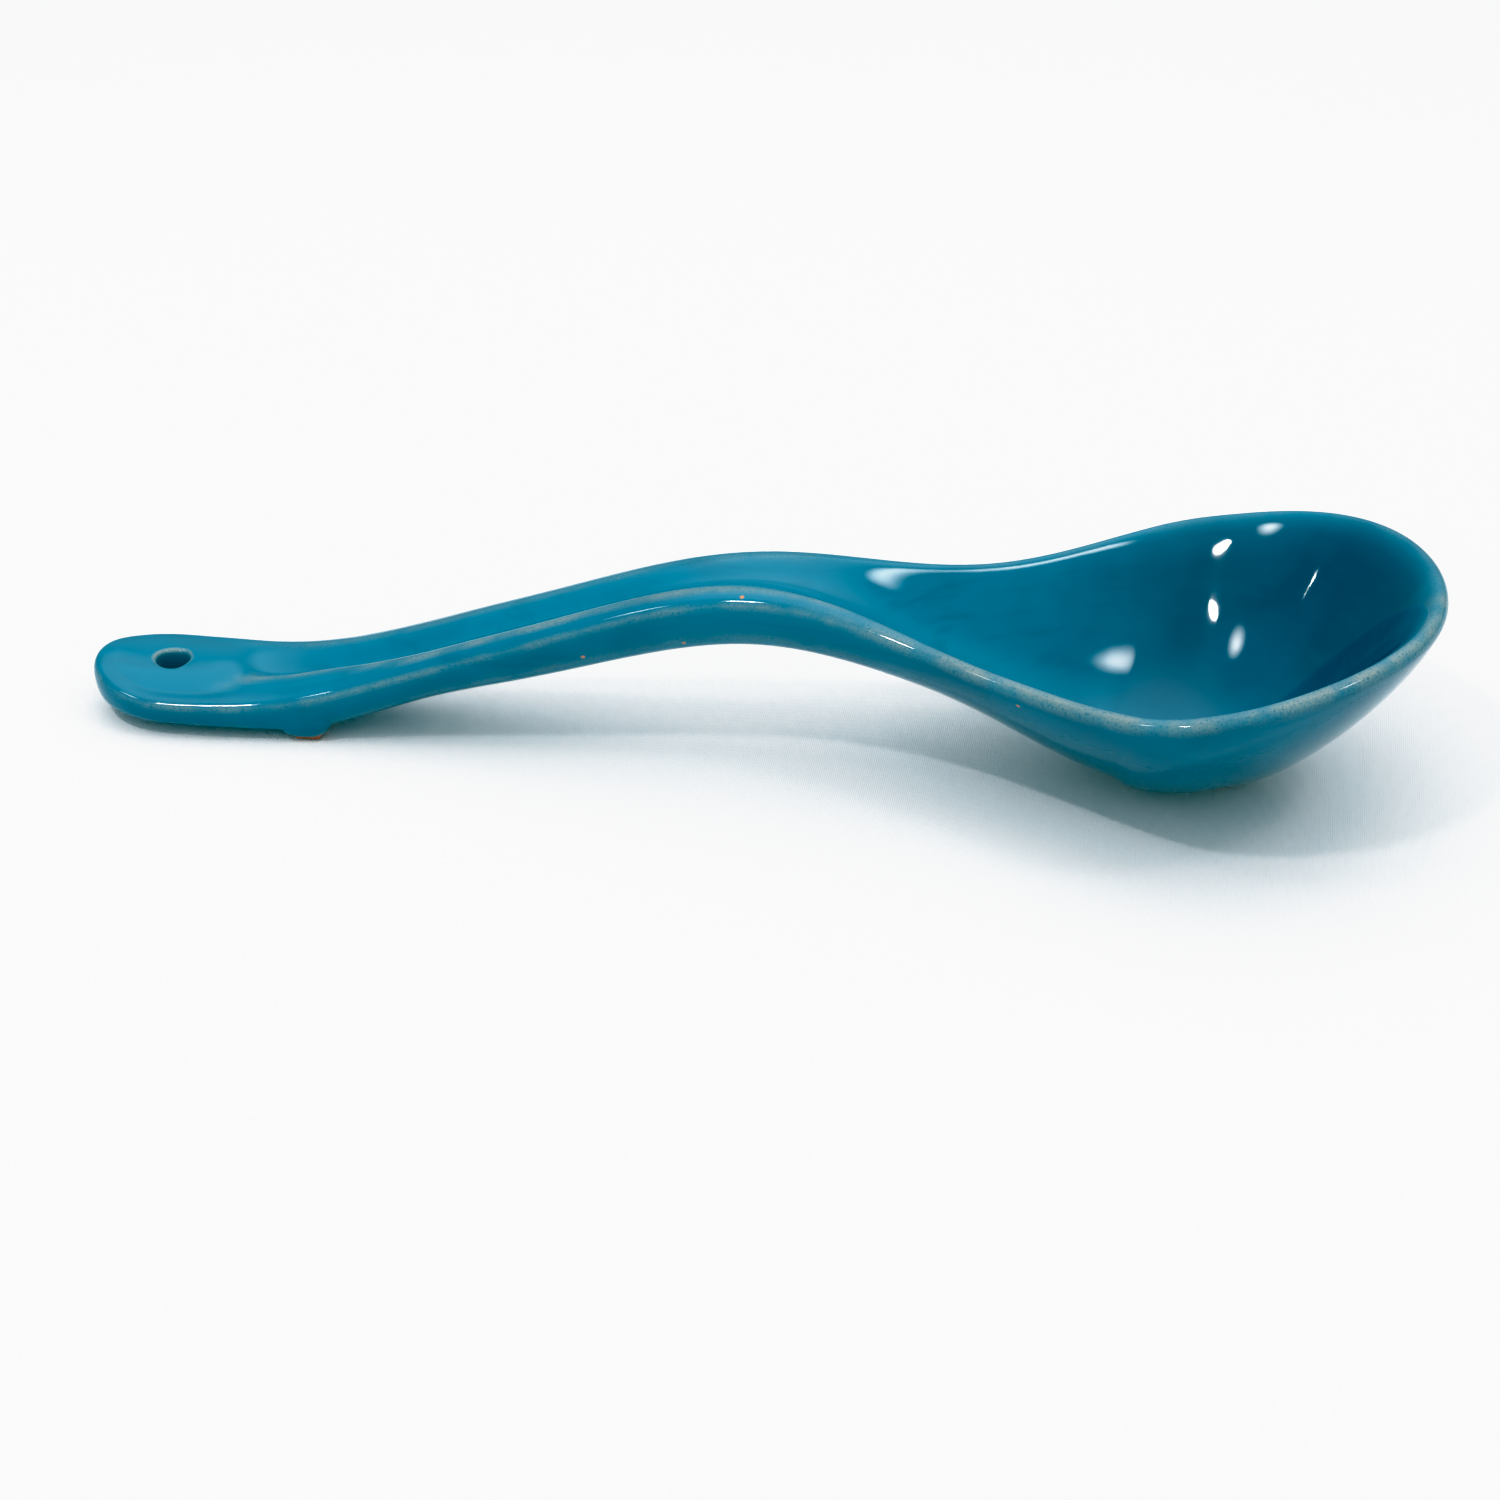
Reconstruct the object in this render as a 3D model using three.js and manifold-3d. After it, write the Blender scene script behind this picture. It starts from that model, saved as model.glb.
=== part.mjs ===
// Glazed earthenware serving spoon, in millimetres, +Z up.
// +X runs from the handle's end to the bowl's tip, Y = 0 is the mirror plane,
// and the spoon rests on Z = 0 on its bowl's foot and on the low bar under its handle.
import * as THREE from 'three';
import { LoftGeometry } from 'three/addons/geometries/LoftGeometry.js';
import { mergeVertices } from 'three/addons/utils/BufferGeometryUtils.js';
import Module from 'manifold-3d';

// Lengths, one after the other from the handle's end to the bowl's tip
const PADDLE_LENGTH = 32;
const SHANK_LENGTH = 80;
const NECK_LENGTH = 58;
const BOWL_LENGTH = 70;

// Widths across the spoon
const PADDLE_WIDTH = 27.3;
const WAIST_WIDTH = 21.8;
const NECK_WIDTH = 20.6;
const SHOULDER_WIDTH = 53.9;
const BOWL_WIDTH = 81.4;

// Where the bowl is widest and how fast it opens at the shoulder
const BOWL_WIDEST_FROM_TIP = 40.5;
const SHOULDER_SLOPE = 0.62;

// Shares of the shank's length to the waist and to the middle of the rise, and of the neck's length
// to the crest, to the steepest part of the neck's underside and to the low saddle before the bowl
const WAIST_SHARE = 0.39;
const RISE_SHARE = 0.55;
const CREST_SHARE = 0.21;
const NECK_UNDERSIDE_SHARE = 0.83;
const SADDLE_SHARE = 0.93;

// Heights of the top edge above the table
const HANDLE_END_HEIGHT = 10.3;
const PADDLE_HEIGHT = 7.5;
const CREST_HEIGHT = 33.8;
const SADDLE_HEIGHT = 28.7;
const BOWL_SIDE_HEIGHT = 32.2;
const TIP_HEIGHT = 39.1;

// Slopes of the top edge: at the handle's end, along the bowl's sides, and in the middle of the rise
// against a straight rise
const HANDLE_END_SLOPE = -0.4;
const BOWL_SIDE_SLOPE = 0.18;
const SHANK_STEEPNESS = 1.14;

// Heights of the underside above the table at the handle's end and along the paddle
const HANDLE_END_CLEARANCE = 2.3;
const PADDLE_CLEARANCE = 1.55;

// Depth of clay and glaze from the top edge to the underside's middle line
const SHANK_THICKNESS = 9.6;
const CREST_THICKNESS = 11.6;
const NECK_WALL = 5.2;
const BOWL_FLOOR = 4.2;

// Rounded edge, the flat land inside it, and what the top does in the middle
const EDGE_ROUND = 1.8;
const HANDLE_LAND = 2;
const RIM_LAND = 0.6;
const PADDLE_CROWN = 2.1;
const TROUGH_DEPTH = 1.3;
const TROUGH_END_LENGTH = 10;

// Soft lip that the handle's land rises to beside the trough
const LIP_RISE = 0.8;
const LIP_FROM_EDGE = 4.2;

// Underside: its flat stretch past the paddle, its slopes against the top edge's, and the neck's way down
const UNDERSIDE_FLAT = 8;
const UNDERSIDE_SLOPES = { flatEnd: 0.4, shank: 0.67 };
const NECK_UNDERSIDE_HEIGHT = 11.8;
const NECK_UNDERSIDE_SLOPE = -0.45;

// Hanging hole
const HOLE_DIAMETER = 6.3;
const HOLE_FROM_END = 15;

// Low bar across the handle's underside: its length along the handle at the root and at the table
const FOOT_BAR_LENGTH = 9.4;
const FOOT_BAR_BOTTOM = 4.8;
const FOOT_BAR_FROM_END = 41.8;
const FOOT_BAR_INSET = 1;
const FOOT_BAR_ROOT = 3.2;

// Bare oval foot under the bowl
const FOOT_LENGTH = 24;
const FOOT_WIDTH = 11;
const FOOT_FROM_TIP = 44;
const FLOOR_BEFORE_FOOT = 6;

// Glaze: its thickness, its gap to the clay, and how far it stops above the table
const GLAZE = 0.5;
const SEAT_GAP = 0.3;
const BARE_CLAY = 0.6;

// Luted joint between handle and bowl
const JOINT_FROM_SHOULDER = 20;
const JOINT_GAP = 0.3;

// Section shape: how fast the top falls off its edge, how full it is, and how full the underside is
const EDGE_FALL = { paddle: 1.1, handle: 1.2, bowl: 1.25 };
const TOP_FULLNESS = { handle: 2, bowl: 2.5 };
const UNDER_FULLNESS = { paddle: 9, handle: 2.6, neck: 1.5, bowl: 1.35 };
const UNDER_SQUARENESS = { handle: 2.2, bowl: 1.2 };

// Lengths over which the cross lines fan together inside the round ends
const PADDLE_FAN = 12.5;
const BOWL_FAN = 47;
const FAN_CROWDING = 0.1;

// Fullness of the outline's curves: a quarter round, the bowl's front and the eased sides
const ROUND_ARC = 0.5523;
const BOWL_FRONT_ARC = 0.575;
const EASED_ARC = 0.39;

// Mesh fineness
const STATIONS = { paddleEnd: 7, paddleSide: 5, shank: 5, neck: 8, shoulder: 5, bowlFront: 10 };
const TOP_RINGS = 7;
const TOP_RING_CROWDING = 1.6;
const EDGE_STEPS = 2;
const UNDER_RINGS = 7;
const UNDER_REACH = 0.94;
const ROUND_SEGMENTS = 24;
const FLANK_STEPS = 6;

// Colours and roughness
const CLAY_FINISH = { color: 0xb5623a, roughness: 0.85, metalness: 0 };
const GLAZE_FINISH = { color: 0x0b7f9e, roughness: 0.08, metalness: 0 };

// Stations along X, with X = 0 halfway along
const LENGTH = PADDLE_LENGTH + SHANK_LENGTH + NECK_LENGTH + BOWL_LENGTH;
const END_X = -LENGTH / 2;
const TIP_X = LENGTH / 2;
const PADDLE_X = END_X + PADDLE_LENGTH / 2;
const TROUGH_X = END_X + PADDLE_LENGTH;
const WAIST_X = TROUGH_X + SHANK_LENGTH * WAIST_SHARE;
const SHANK_X = TROUGH_X + SHANK_LENGTH * RISE_SHARE;
const NECK_X = TROUGH_X + SHANK_LENGTH;
const CREST_X = NECK_X + NECK_LENGTH * CREST_SHARE;
const NECK_UNDERSIDE_X = NECK_X + NECK_LENGTH * NECK_UNDERSIDE_SHARE;
const SADDLE_X = NECK_X + NECK_LENGTH * SADDLE_SHARE;
const SHOULDER_X = NECK_X + NECK_LENGTH;
const WIDEST_X = TIP_X - BOWL_WIDEST_FROM_TIP;
const HOLE_X = END_X + HOLE_FROM_END;
const FOOT_BAR_X = END_X + FOOT_BAR_FROM_END;
const FOOT_X = TIP_X - FOOT_FROM_TIP;
const FLOOR_X = FOOT_X - FLOOR_BEFORE_FOOT;
const JOINT_X = SHOULDER_X - JOINT_FROM_SHOULDER;

// Size of a block that holds the whole spoon
const EVERYTHING = 4 * LENGTH;

const wasm = await Module();
wasm.setup();

// Smooth curve of a height or a factor along X through knots of [x, value, slope]
function profile(knots) {
  return (x) => {
    let i = 0;
    while (i < knots.length - 2 && x > knots[i + 1][0]) i += 1;
    const [x0, value0, slope0] = knots[i];
    const [x1, value1, slope1] = knots[i + 1];
    const span = x1 - x0;
    const t = THREE.MathUtils.clamp((x - x0) / span, 0, 1);
    const s = 1 - t;
    const values = value0 * (1 + 2 * t) * s * s + value1 * (3 - 2 * t) * t * t;
    return values + span * (slope0 * t * s * s - slope1 * t * t * s);
  };
}

// Factor that has one value on the handle and another on the bowl, eased along the neck
function handleToBowl({ handle, bowl }) {
  return profile([[END_X, handle, 0], [CREST_X, handle, 0], [NECK_UNDERSIDE_X, bowl, 0], [TIP_X, bowl, 0]]);
}

const SHANK_HEIGHT = (PADDLE_HEIGHT + CREST_HEIGHT) / 2;
const SHANK_SLOPE = SHANK_STEEPNESS * (CREST_HEIGHT - PADDLE_HEIGHT) / (CREST_X - TROUGH_X);

// Top edge all the way round
const edgeHeight = profile([
  [END_X, HANDLE_END_HEIGHT, HANDLE_END_SLOPE],
  [TROUGH_X - TROUGH_END_LENGTH / 2, PADDLE_HEIGHT, 0],
  [SHANK_X, SHANK_HEIGHT, SHANK_SLOPE],
  [CREST_X, CREST_HEIGHT, 0],
  [SADDLE_X, SADDLE_HEIGHT, 0],
  [WIDEST_X, BOWL_SIDE_HEIGHT, BOWL_SIDE_SLOPE],
  [TIP_X, TIP_HEIGHT, 0],
]);

// Underside along the middle line
const undersideHeight = profile([
  [END_X, HANDLE_END_CLEARANCE, 0],
  [TROUGH_X - TROUGH_END_LENGTH / 2, PADDLE_CLEARANCE, 0],
  [TROUGH_X + UNDERSIDE_FLAT, PADDLE_CLEARANCE, SHANK_SLOPE * UNDERSIDE_SLOPES.flatEnd],
  [SHANK_X, SHANK_HEIGHT - SHANK_THICKNESS, SHANK_SLOPE * UNDERSIDE_SLOPES.shank],
  [CREST_X, CREST_HEIGHT - CREST_THICKNESS, 0],
  [NECK_UNDERSIDE_X, NECK_UNDERSIDE_HEIGHT, NECK_UNDERSIDE_SLOPE],
  [FLOOR_X, BARE_CLAY, 0],
  [TIP_X, BARE_CLAY, 0],
]);

// Top along the middle line: crowned paddle, trough of the handle, floor of the bowl
const topHeight = profile([
  [END_X, PADDLE_HEIGHT + PADDLE_CROWN, 0],
  [TROUGH_X - TROUGH_END_LENGTH, PADDLE_HEIGHT + PADDLE_CROWN, 0],
  [TROUGH_X, edgeHeight(TROUGH_X) - TROUGH_DEPTH / 2, 0],
  [SHANK_X, SHANK_HEIGHT - TROUGH_DEPTH, SHANK_SLOPE],
  [CREST_X, CREST_HEIGHT - TROUGH_DEPTH, 0],
  [NECK_UNDERSIDE_X, NECK_UNDERSIDE_HEIGHT + NECK_WALL, NECK_UNDERSIDE_SLOPE],
  [FOOT_X, BARE_CLAY + BOWL_FLOOR, 0],
  [TIP_X, BARE_CLAY + BOWL_FLOOR, 0],
]);

// Foot of each cross line on the middle line
const fanX = profile([
  [END_X, END_X + PADDLE_FAN, FAN_CROWDING],
  [TROUGH_X, TROUGH_X, 1],
  [SHOULDER_X, SHOULDER_X, 1],
  [TIP_X, TIP_X - BOWL_FAN, FAN_CROWDING],
]);

const landWidth = handleToBowl({ handle: HANDLE_LAND, bowl: RIM_LAND });
const topFullness = handleToBowl(TOP_FULLNESS);
const underSquareness = handleToBowl(UNDER_SQUARENESS);
const underFullness = profile([
  [END_X, UNDER_FULLNESS.paddle, 0],
  [FOOT_BAR_X, UNDER_FULLNESS.paddle, 0],
  [WAIST_X, UNDER_FULLNESS.handle, 0],
  [CREST_X, UNDER_FULLNESS.handle, 0],
  [NECK_UNDERSIDE_X, UNDER_FULLNESS.neck, 0],
  [TIP_X, UNDER_FULLNESS.bowl, 0],
]);
const edgeFall = profile([
  [END_X, EDGE_FALL.paddle, 0],
  [TROUGH_X - TROUGH_END_LENGTH, EDGE_FALL.paddle, 0],
  [TROUGH_X, EDGE_FALL.handle, 0],
  [CREST_X, EDGE_FALL.handle, 0],
  [NECK_UNDERSIDE_X, EDGE_FALL.bowl, 0],
  [TIP_X, EDGE_FALL.bowl, 0],
]);

const lipRise = profile([
  [END_X, 0, 0],
  [TROUGH_X - TROUGH_END_LENGTH, 0, 0],
  [TROUGH_X, LIP_RISE, 0],
  [CREST_X, LIP_RISE, 0],
  [NECK_UNDERSIDE_X, 0, 0],
  [TIP_X, 0, 0],
]);

// Stretch of the half outline that leaves and reaches its points in given directions
function planCurve([x0, y0, along0], [x1, y1, along1], fullness) {
  const start = new THREE.Vector2(x0, y0);
  const stop = new THREE.Vector2(x1, y1);
  const chord = stop.clone().sub(start);
  const direction0 = along0.clone().normalize();
  const direction1 = along1.clone().normalize();
  const reach0 = Math.abs(chord.dot(direction0)) * fullness;
  const reach1 = Math.abs(chord.dot(direction1)) * fullness;
  const handle0 = start.clone().addScaledVector(direction0, reach0);
  const handle1 = stop.clone().addScaledVector(direction1, -reach1);
  return new THREE.CubicBezierCurve(start, handle0, handle1, stop);
}

const ahead = new THREE.Vector2(1, 0);
const endPoint = [END_X, 0, new THREE.Vector2(0, 1)];
const paddlePoint = [PADDLE_X, PADDLE_WIDTH / 2, ahead];
const waistPoint = [WAIST_X, WAIST_WIDTH / 2, ahead];
const neckPoint = [NECK_X, NECK_WIDTH / 2, ahead];
const shoulderPoint = [SHOULDER_X, SHOULDER_WIDTH / 2, new THREE.Vector2(1, SHOULDER_SLOPE)];
const widestPoint = [WIDEST_X, BOWL_WIDTH / 2, ahead];
const tipPoint = [TIP_X, 0, new THREE.Vector2(0, -1)];

const outline = [
  [planCurve(endPoint, paddlePoint, ROUND_ARC), STATIONS.paddleEnd],
  [planCurve(paddlePoint, waistPoint, EASED_ARC), STATIONS.paddleSide],
  [planCurve(waistPoint, neckPoint, EASED_ARC), STATIONS.shank],
  [planCurve(neckPoint, shoulderPoint, EASED_ARC), STATIONS.neck],
  [planCurve(shoulderPoint, widestPoint, EASED_ARC), STATIONS.shoulder],
  [planCurve(widestPoint, tipPoint, BOWL_FRONT_ARC), STATIONS.bowlFront],
];

// Points of the half outline from the end to the tip, each with its way inwards
function outlineStations() {
  const stations = [];
  for (const [curve, count] of outline) {
    for (let i = 0; i < count; i += 1) {
      stations.push(stationOn(curve, i / count));
    }
  }
  stations.push(stationOn(outline[outline.length - 1][0], 1));
  return stations;
}

function stationOn(curve, t) {
  const at = curve.getPoint(t);
  const tangent = curve.getTangent(t);
  return { at, inward: new THREE.Vector2(tangent.y, -tangent.x) };
}

// Height of the land of one station at a distance inwards from the outline
function landHeight(x, distance) {
  const rest = 1 - Math.min(distance / LIP_FROM_EDGE, 1);
  return edgeHeight(x) + lipRise(x) * (1 - rest * rest);
}

// Point of one station on the top, q = 0 at the land's inner side and 1 on the middle line
function topPoint({ at, inward }, q) {
  const start = EDGE_ROUND + landWidth(at.x);
  const land = at.clone().addScaledVector(inward, start);
  const foot = new THREE.Vector2(fanX(at.x), 0);
  const fall = 1 - (1 - q ** edgeFall(at.x)) ** topFullness(at.x);
  const plan = land.clone().lerp(foot, q);
  const high = landHeight(at.x, start + plan.distanceTo(land));
  const z = THREE.MathUtils.lerp(high, topHeight(foot.x), fall);
  return new THREE.Vector3(plan.x, plan.y, z);
}

// Point of one station on the rounded edge, turn = 0 at its outermost line
function edgePoint({ at, inward }, turn) {
  const distance = EDGE_ROUND * (1 - Math.cos(turn));
  const plan = at.clone().addScaledVector(inward, distance);
  const z = landHeight(at.x, distance) - EDGE_ROUND * (1 - Math.sin(turn));
  return new THREE.Vector3(plan.x, plan.y, z);
}

// Share of one station's cross line that lies outside the bowl's foot
function footShare({ at }) {
  const scale = new THREE.Vector2(2 / FOOT_LENGTH, 2 / FOOT_WIDTH);
  const centre = new THREE.Vector2(FOOT_X, 0);
  const start = at.clone().sub(centre).multiply(scale);
  const stop = new THREE.Vector2(fanX(at.x), 0).sub(centre).multiply(scale);
  if (stop.length() >= 1) return 1;
  const way = stop.sub(start);
  const a = way.lengthSq();
  const b = start.dot(way);
  return (-b - Math.sqrt(b * b - a * (start.lengthSq() - 1))) / a;
}

// Point of one station on the underside, q = 0 at the outermost line and 1 on the middle line
function underPoint(station, q) {
  const { at } = station;
  const foot = new THREE.Vector2(fanX(at.x), 0);
  const rest = 1 - Math.min(q / footShare(station), 1);
  const drop = (1 - rest ** underFullness(at.x)) ** (1 / underSquareness(at.x));
  const plan = at.clone().lerp(foot, q);
  const z = THREE.MathUtils.lerp(edgeHeight(at.x) - EDGE_ROUND, undersideHeight(foot.x), drop);
  return new THREE.Vector3(plan.x, plan.y, z);
}

// Closed loop through one point per station, along the +Y side and back along the -Y side
function ring(stations, pointAt) {
  const side = stations.map(pointAt);
  const back = side.slice(1, -1).reverse();
  const mirrored = back.map((p) => new THREE.Vector3(p.x, -p.y, p.z));
  return [...side, ...mirrored];
}

// The spoon's whole outer surface, from the middle line of the top round the edge to the keel
function spoonSurface() {
  const stations = outlineStations();
  const rings = [];
  for (let i = TOP_RINGS; i >= 0; i -= 1) {
    const q = (i / TOP_RINGS) ** TOP_RING_CROWDING;
    rings.push(ring(stations, (station) => topPoint(station, q)));
  }
  for (let i = EDGE_STEPS; i > 0; i -= 1) {
    const turn = i / EDGE_STEPS * Math.PI / 2;
    rings.push(ring(stations, (station) => edgePoint(station, turn)));
  }
  for (let i = 0; i <= UNDER_RINGS; i += 1) {
    const share = 1 - Math.cos(i / UNDER_RINGS * Math.PI / 2);
    rings.push(ring(stations, (station) => underPoint(station, share * Math.min(footShare(station), UNDER_REACH))));
  }
  rings.push(ring(stations, (station) => underPoint(station, 1)));
  return welded(new LoftGeometry(rings));
}

// Geometry with only its positions, and every shared vertex merged
function welded(geometry) {
  const bare = new THREE.BufferGeometry().copy(geometry);
  bare.deleteAttribute('normal');
  bare.deleteAttribute('uv');
  return mergeVertices(bare);
}

// Copy of a closed surface moved inwards along its normals
function inset(geometry, depth) {
  const copy = geometry.clone();
  copy.computeVertexNormals();
  const position = copy.getAttribute('position');
  const normal = copy.getAttribute('normal');
  const point = new THREE.Vector3();
  const direction = new THREE.Vector3();
  for (let i = 0; i < position.count; i += 1) {
    point.fromBufferAttribute(position, i);
    direction.fromBufferAttribute(normal, i);
    point.addScaledVector(direction, -depth);
    position.setXYZ(i, point.x, point.y, point.z);
  }
  return copy;
}

function solid(geometry) {
  const shape = welded(geometry);
  const vertProperties = new Float32Array(shape.getAttribute('position').array);
  const triVerts = new Uint32Array(shape.getIndex().array);
  return new wasm.Manifold(new wasm.Mesh({ numProp: 3, vertProperties, triVerts }));
}

function geometryOf(manifold) {
  const mesh = manifold.getMesh();
  const geometry = new THREE.BufferGeometry();
  geometry.setAttribute('position', new THREE.BufferAttribute(new Float32Array(mesh.vertProperties), 3));
  geometry.setIndex(new THREE.BufferAttribute(new Uint32Array(mesh.triVerts), 1));
  return geometry;
}

// Upright round cutter through the hanging hole
function holeCutter(radius) {
  const cutter = new THREE.CylinderGeometry(radius, radius, EVERYTHING, ROUND_SEGMENTS);
  cutter.rotateX(Math.PI / 2);
  cutter.translate(HOLE_X, 0, 0);
  return solid(cutter);
}

// The spoon's body at a depth below the glaze's surface, with its hole
function body(depth) {
  const skin = inset(spoonSurface(), depth);
  return solid(skin).subtract(holeCutter(HOLE_DIAMETER / 2 + depth));
}

// Upright block inside the spoon's outline, moved inwards by a margin
function outlineBlock(margin) {
  const loop = ring(outlineStations(), ({ at, inward }) => {
    const plan = at.clone().addScaledVector(inward, margin);
    return new THREE.Vector3(plan.x, plan.y, 0);
  });
  return solid(new THREE.ExtrudeGeometry(new THREE.Shape(loop), { depth: EVERYTHING, bevelEnabled: false }));
}

// Low bar at a depth below the glaze's surface, flared into the handle and ending inside its sides
function footBar(depth) {
  const joint = undersideHeight(FOOT_BAR_X) + depth;
  const bottom = FOOT_BAR_BOTTOM / 2 - depth;
  const root = FOOT_BAR_LENGTH / 2 - depth;
  const middle = (bottom + root) / 2;
  const flank = new THREE.CubicBezierCurve(
    new THREE.Vector2(bottom, 0),
    new THREE.Vector2(middle, 0),
    new THREE.Vector2(middle, joint),
    new THREE.Vector2(root, joint),
  );
  const side = [...flank.getPoints(FLANK_STEPS), new THREE.Vector2(root, joint + FOOT_BAR_ROOT)];
  const mirrored = side.map(({ x, y }) => new THREE.Vector2(-x, y)).reverse();
  const section = new THREE.Shape([...side, ...mirrored]);
  const bar = new THREE.ExtrudeGeometry(section, { depth: PADDLE_WIDTH, bevelEnabled: false });
  bar.rotateX(Math.PI / 2);
  bar.translate(FOOT_BAR_X, PADDLE_WIDTH / 2, 0);
  return solid(bar).intersect(outlineBlock(FOOT_BAR_INSET + depth));
}

// Upright oval block under the bowl's middle, grown by a margin
function footBlock(margin, bottom, top) {
  const oval = new THREE.Shape();
  oval.absellipse(FOOT_X, 0, FOOT_LENGTH / 2 + margin, FOOT_WIDTH / 2 + margin, 0, 2 * Math.PI);
  const options = { depth: top - bottom, bevelEnabled: false, curveSegments: ROUND_SEGMENTS };
  const block = new THREE.ExtrudeGeometry(oval, options);
  block.translate(0, 0, bottom);
  return solid(block);
}

// Everything on one side of the luted joint, less half of its gap
function joinSide(direction) {
  const side = new THREE.BoxGeometry(EVERYTHING, EVERYTHING, EVERYTHING);
  side.translate(JOINT_X + direction * (EVERYTHING + JOINT_GAP) / 2, 0, 0);
  return solid(side);
}

const CLAY_DEPTH = GLAZE + SEAT_GAP;
const glazeInside = body(GLAZE);
const clay = body(CLAY_DEPTH);
const floorInside = BARE_CLAY + BOWL_FLOOR / 2;

const foot = footBlock(0, 0, floorInside);
const bowl = clay.intersect(joinSide(1)).add(foot);
const handle = clay.intersect(joinSide(-1));
const handleFoot = footBar(CLAY_DEPTH).subtract(glazeInside);
const glaze = body(0)
  .add(footBar(0).trimByPlane([0, 0, 1], BARE_CLAY))
  .subtract(glazeInside)
  .subtract(footBar(GLAZE))
  .subtract(footBlock(SEAT_GAP, 0, floorInside));

function node(name, manifold, finish) {
  const mesh = new THREE.Mesh(geometryOf(manifold), new THREE.MeshStandardMaterial(finish));
  mesh.name = name;
  return mesh;
}

const spoon = new THREE.Group();
spoon.add(node('bowl', bowl, CLAY_FINISH));
spoon.add(node('handle', handle, CLAY_FINISH));
spoon.add(node('handle_foot', handleFoot, CLAY_FINISH));
spoon.add(node('glaze_coat', glaze, GLAZE_FINISH));

export default spoon;
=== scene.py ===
"""Looks of a glazed earthenware serving spoon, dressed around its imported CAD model.

The glaze coat is one continuous skin that is grown ring by ring from the spoon's outline: inwards over
the top, and down over the underside, through the hanging hole and over the foot bar. All sizes of the spoon
are in millimetres in its own frame, and meshes are in metres.
"""
import logging
import math
from dataclasses import dataclass, replace
from enum import Enum
from functools import partial, reduce
from typing import Any, Callable, ClassVar, Iterable

import bmesh
import bpy
import numpy as np
from bmesh.types import BMEdge, BMesh, BMFace, BMVert
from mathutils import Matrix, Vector


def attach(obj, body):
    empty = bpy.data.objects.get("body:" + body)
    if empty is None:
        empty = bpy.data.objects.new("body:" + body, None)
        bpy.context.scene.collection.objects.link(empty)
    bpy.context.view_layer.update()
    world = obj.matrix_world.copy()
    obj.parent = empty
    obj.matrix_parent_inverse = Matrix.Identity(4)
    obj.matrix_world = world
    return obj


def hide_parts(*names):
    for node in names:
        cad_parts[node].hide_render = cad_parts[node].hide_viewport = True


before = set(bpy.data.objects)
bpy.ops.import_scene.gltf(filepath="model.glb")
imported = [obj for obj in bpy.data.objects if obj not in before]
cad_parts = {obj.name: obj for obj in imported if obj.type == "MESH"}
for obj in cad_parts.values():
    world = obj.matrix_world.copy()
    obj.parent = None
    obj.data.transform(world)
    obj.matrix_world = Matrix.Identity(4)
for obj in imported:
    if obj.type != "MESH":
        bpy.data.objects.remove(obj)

LOG = logging.getLogger("serving_spoon")
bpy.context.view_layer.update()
MM = 0.001
BODY = "root"
THIN_GLAZE = "thin_glaze"
# Mesh attribute that carries the painted shade of the glaze coat.
PAINTED_SHADE = "painted_shade"
QUARTER = math.pi / 2
Color = tuple[float, float, float, float]
Point = tuple[float, float, float]
Socket = bpy.types.NodeSocket


class Side(Enum):
    """Which face of the spoon a ring of the coat lies on."""

    TOP = 1
    UNDER = -1


def clamped(share: float) -> float:
    """Keeps a share between 0 and 1."""
    return min(max(share, 0.0), 1.0)


class Profile:
    """Smooth curve of a height or a factor along X through knots of (x, value, slope)."""

    def __init__(self, *knots: tuple[float, float, float]) -> None:
        """Keeps the knots, which come in rising order of x."""
        self.knots = knots

    @classmethod
    def level(cls, *knots: tuple[float, float]) -> "Profile":
        """Draws a curve that runs level at each of its knots of (x, value)."""
        return cls(*((x, value, 0) for x, value in knots))

    def __call__(self, x: float) -> float:
        """Evaluates the curve.

        Args:
            x: Place along the spoon.

        Returns:
            The value there, held constant past both ends.
        """
        i = 0
        while i < len(self.knots) - 2 and x > self.knots[i + 1][0]:
            i += 1
        x0, value0, slope0 = self.knots[i]
        x1, value1, slope1 = self.knots[i + 1]
        span = x1 - x0
        t = clamped((x - x0) / span)
        s = 1.0 - t
        values = value0 * (1 + 2 * t) * s * s + value1 * (3 - 2 * t) * t * t
        return values + span * (slope0 * t * s * s - slope1 * t * t * s)


@dataclass(frozen=True)
class Station:
    """One point of the half outline, its way inwards and the foot of its cross line on the middle line."""

    at: Vector
    inward: Vector
    foot: Vector
    near: bool = False


@dataclass(frozen=True)
class Opening:
    """Upright oval passage on the middle line, which cross lines end on instead of the middle line."""

    x: float
    half_length: float
    half_width: float
    END_MARGIN: ClassVar[float] = 0.02

    def entry(self, start: Vector, foot: Vector) -> float:
        """Finds where a cross line meets the oval.

        Args:
            start: Where the line starts, outside the oval.
            foot: Where the line reaches the middle line.

        Returns:
            Share of the line up to the oval, or 1 where it misses it.
        """
        scale = Vector((1 / self.half_length, 1 / self.half_width))
        centre = Vector((self.x, 0.0))
        origin = (start - centre) * scale
        way = (foot - start) * scale
        a = way.dot(way)
        b = origin.dot(way)
        c = origin.dot(origin) - 1
        root = b * b - a * c
        if (foot - centre).length > self.half_length - self.END_MARGIN or root <= 0:
            return 1.0
        return clamped((-b - math.sqrt(root)) / a)


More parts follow.
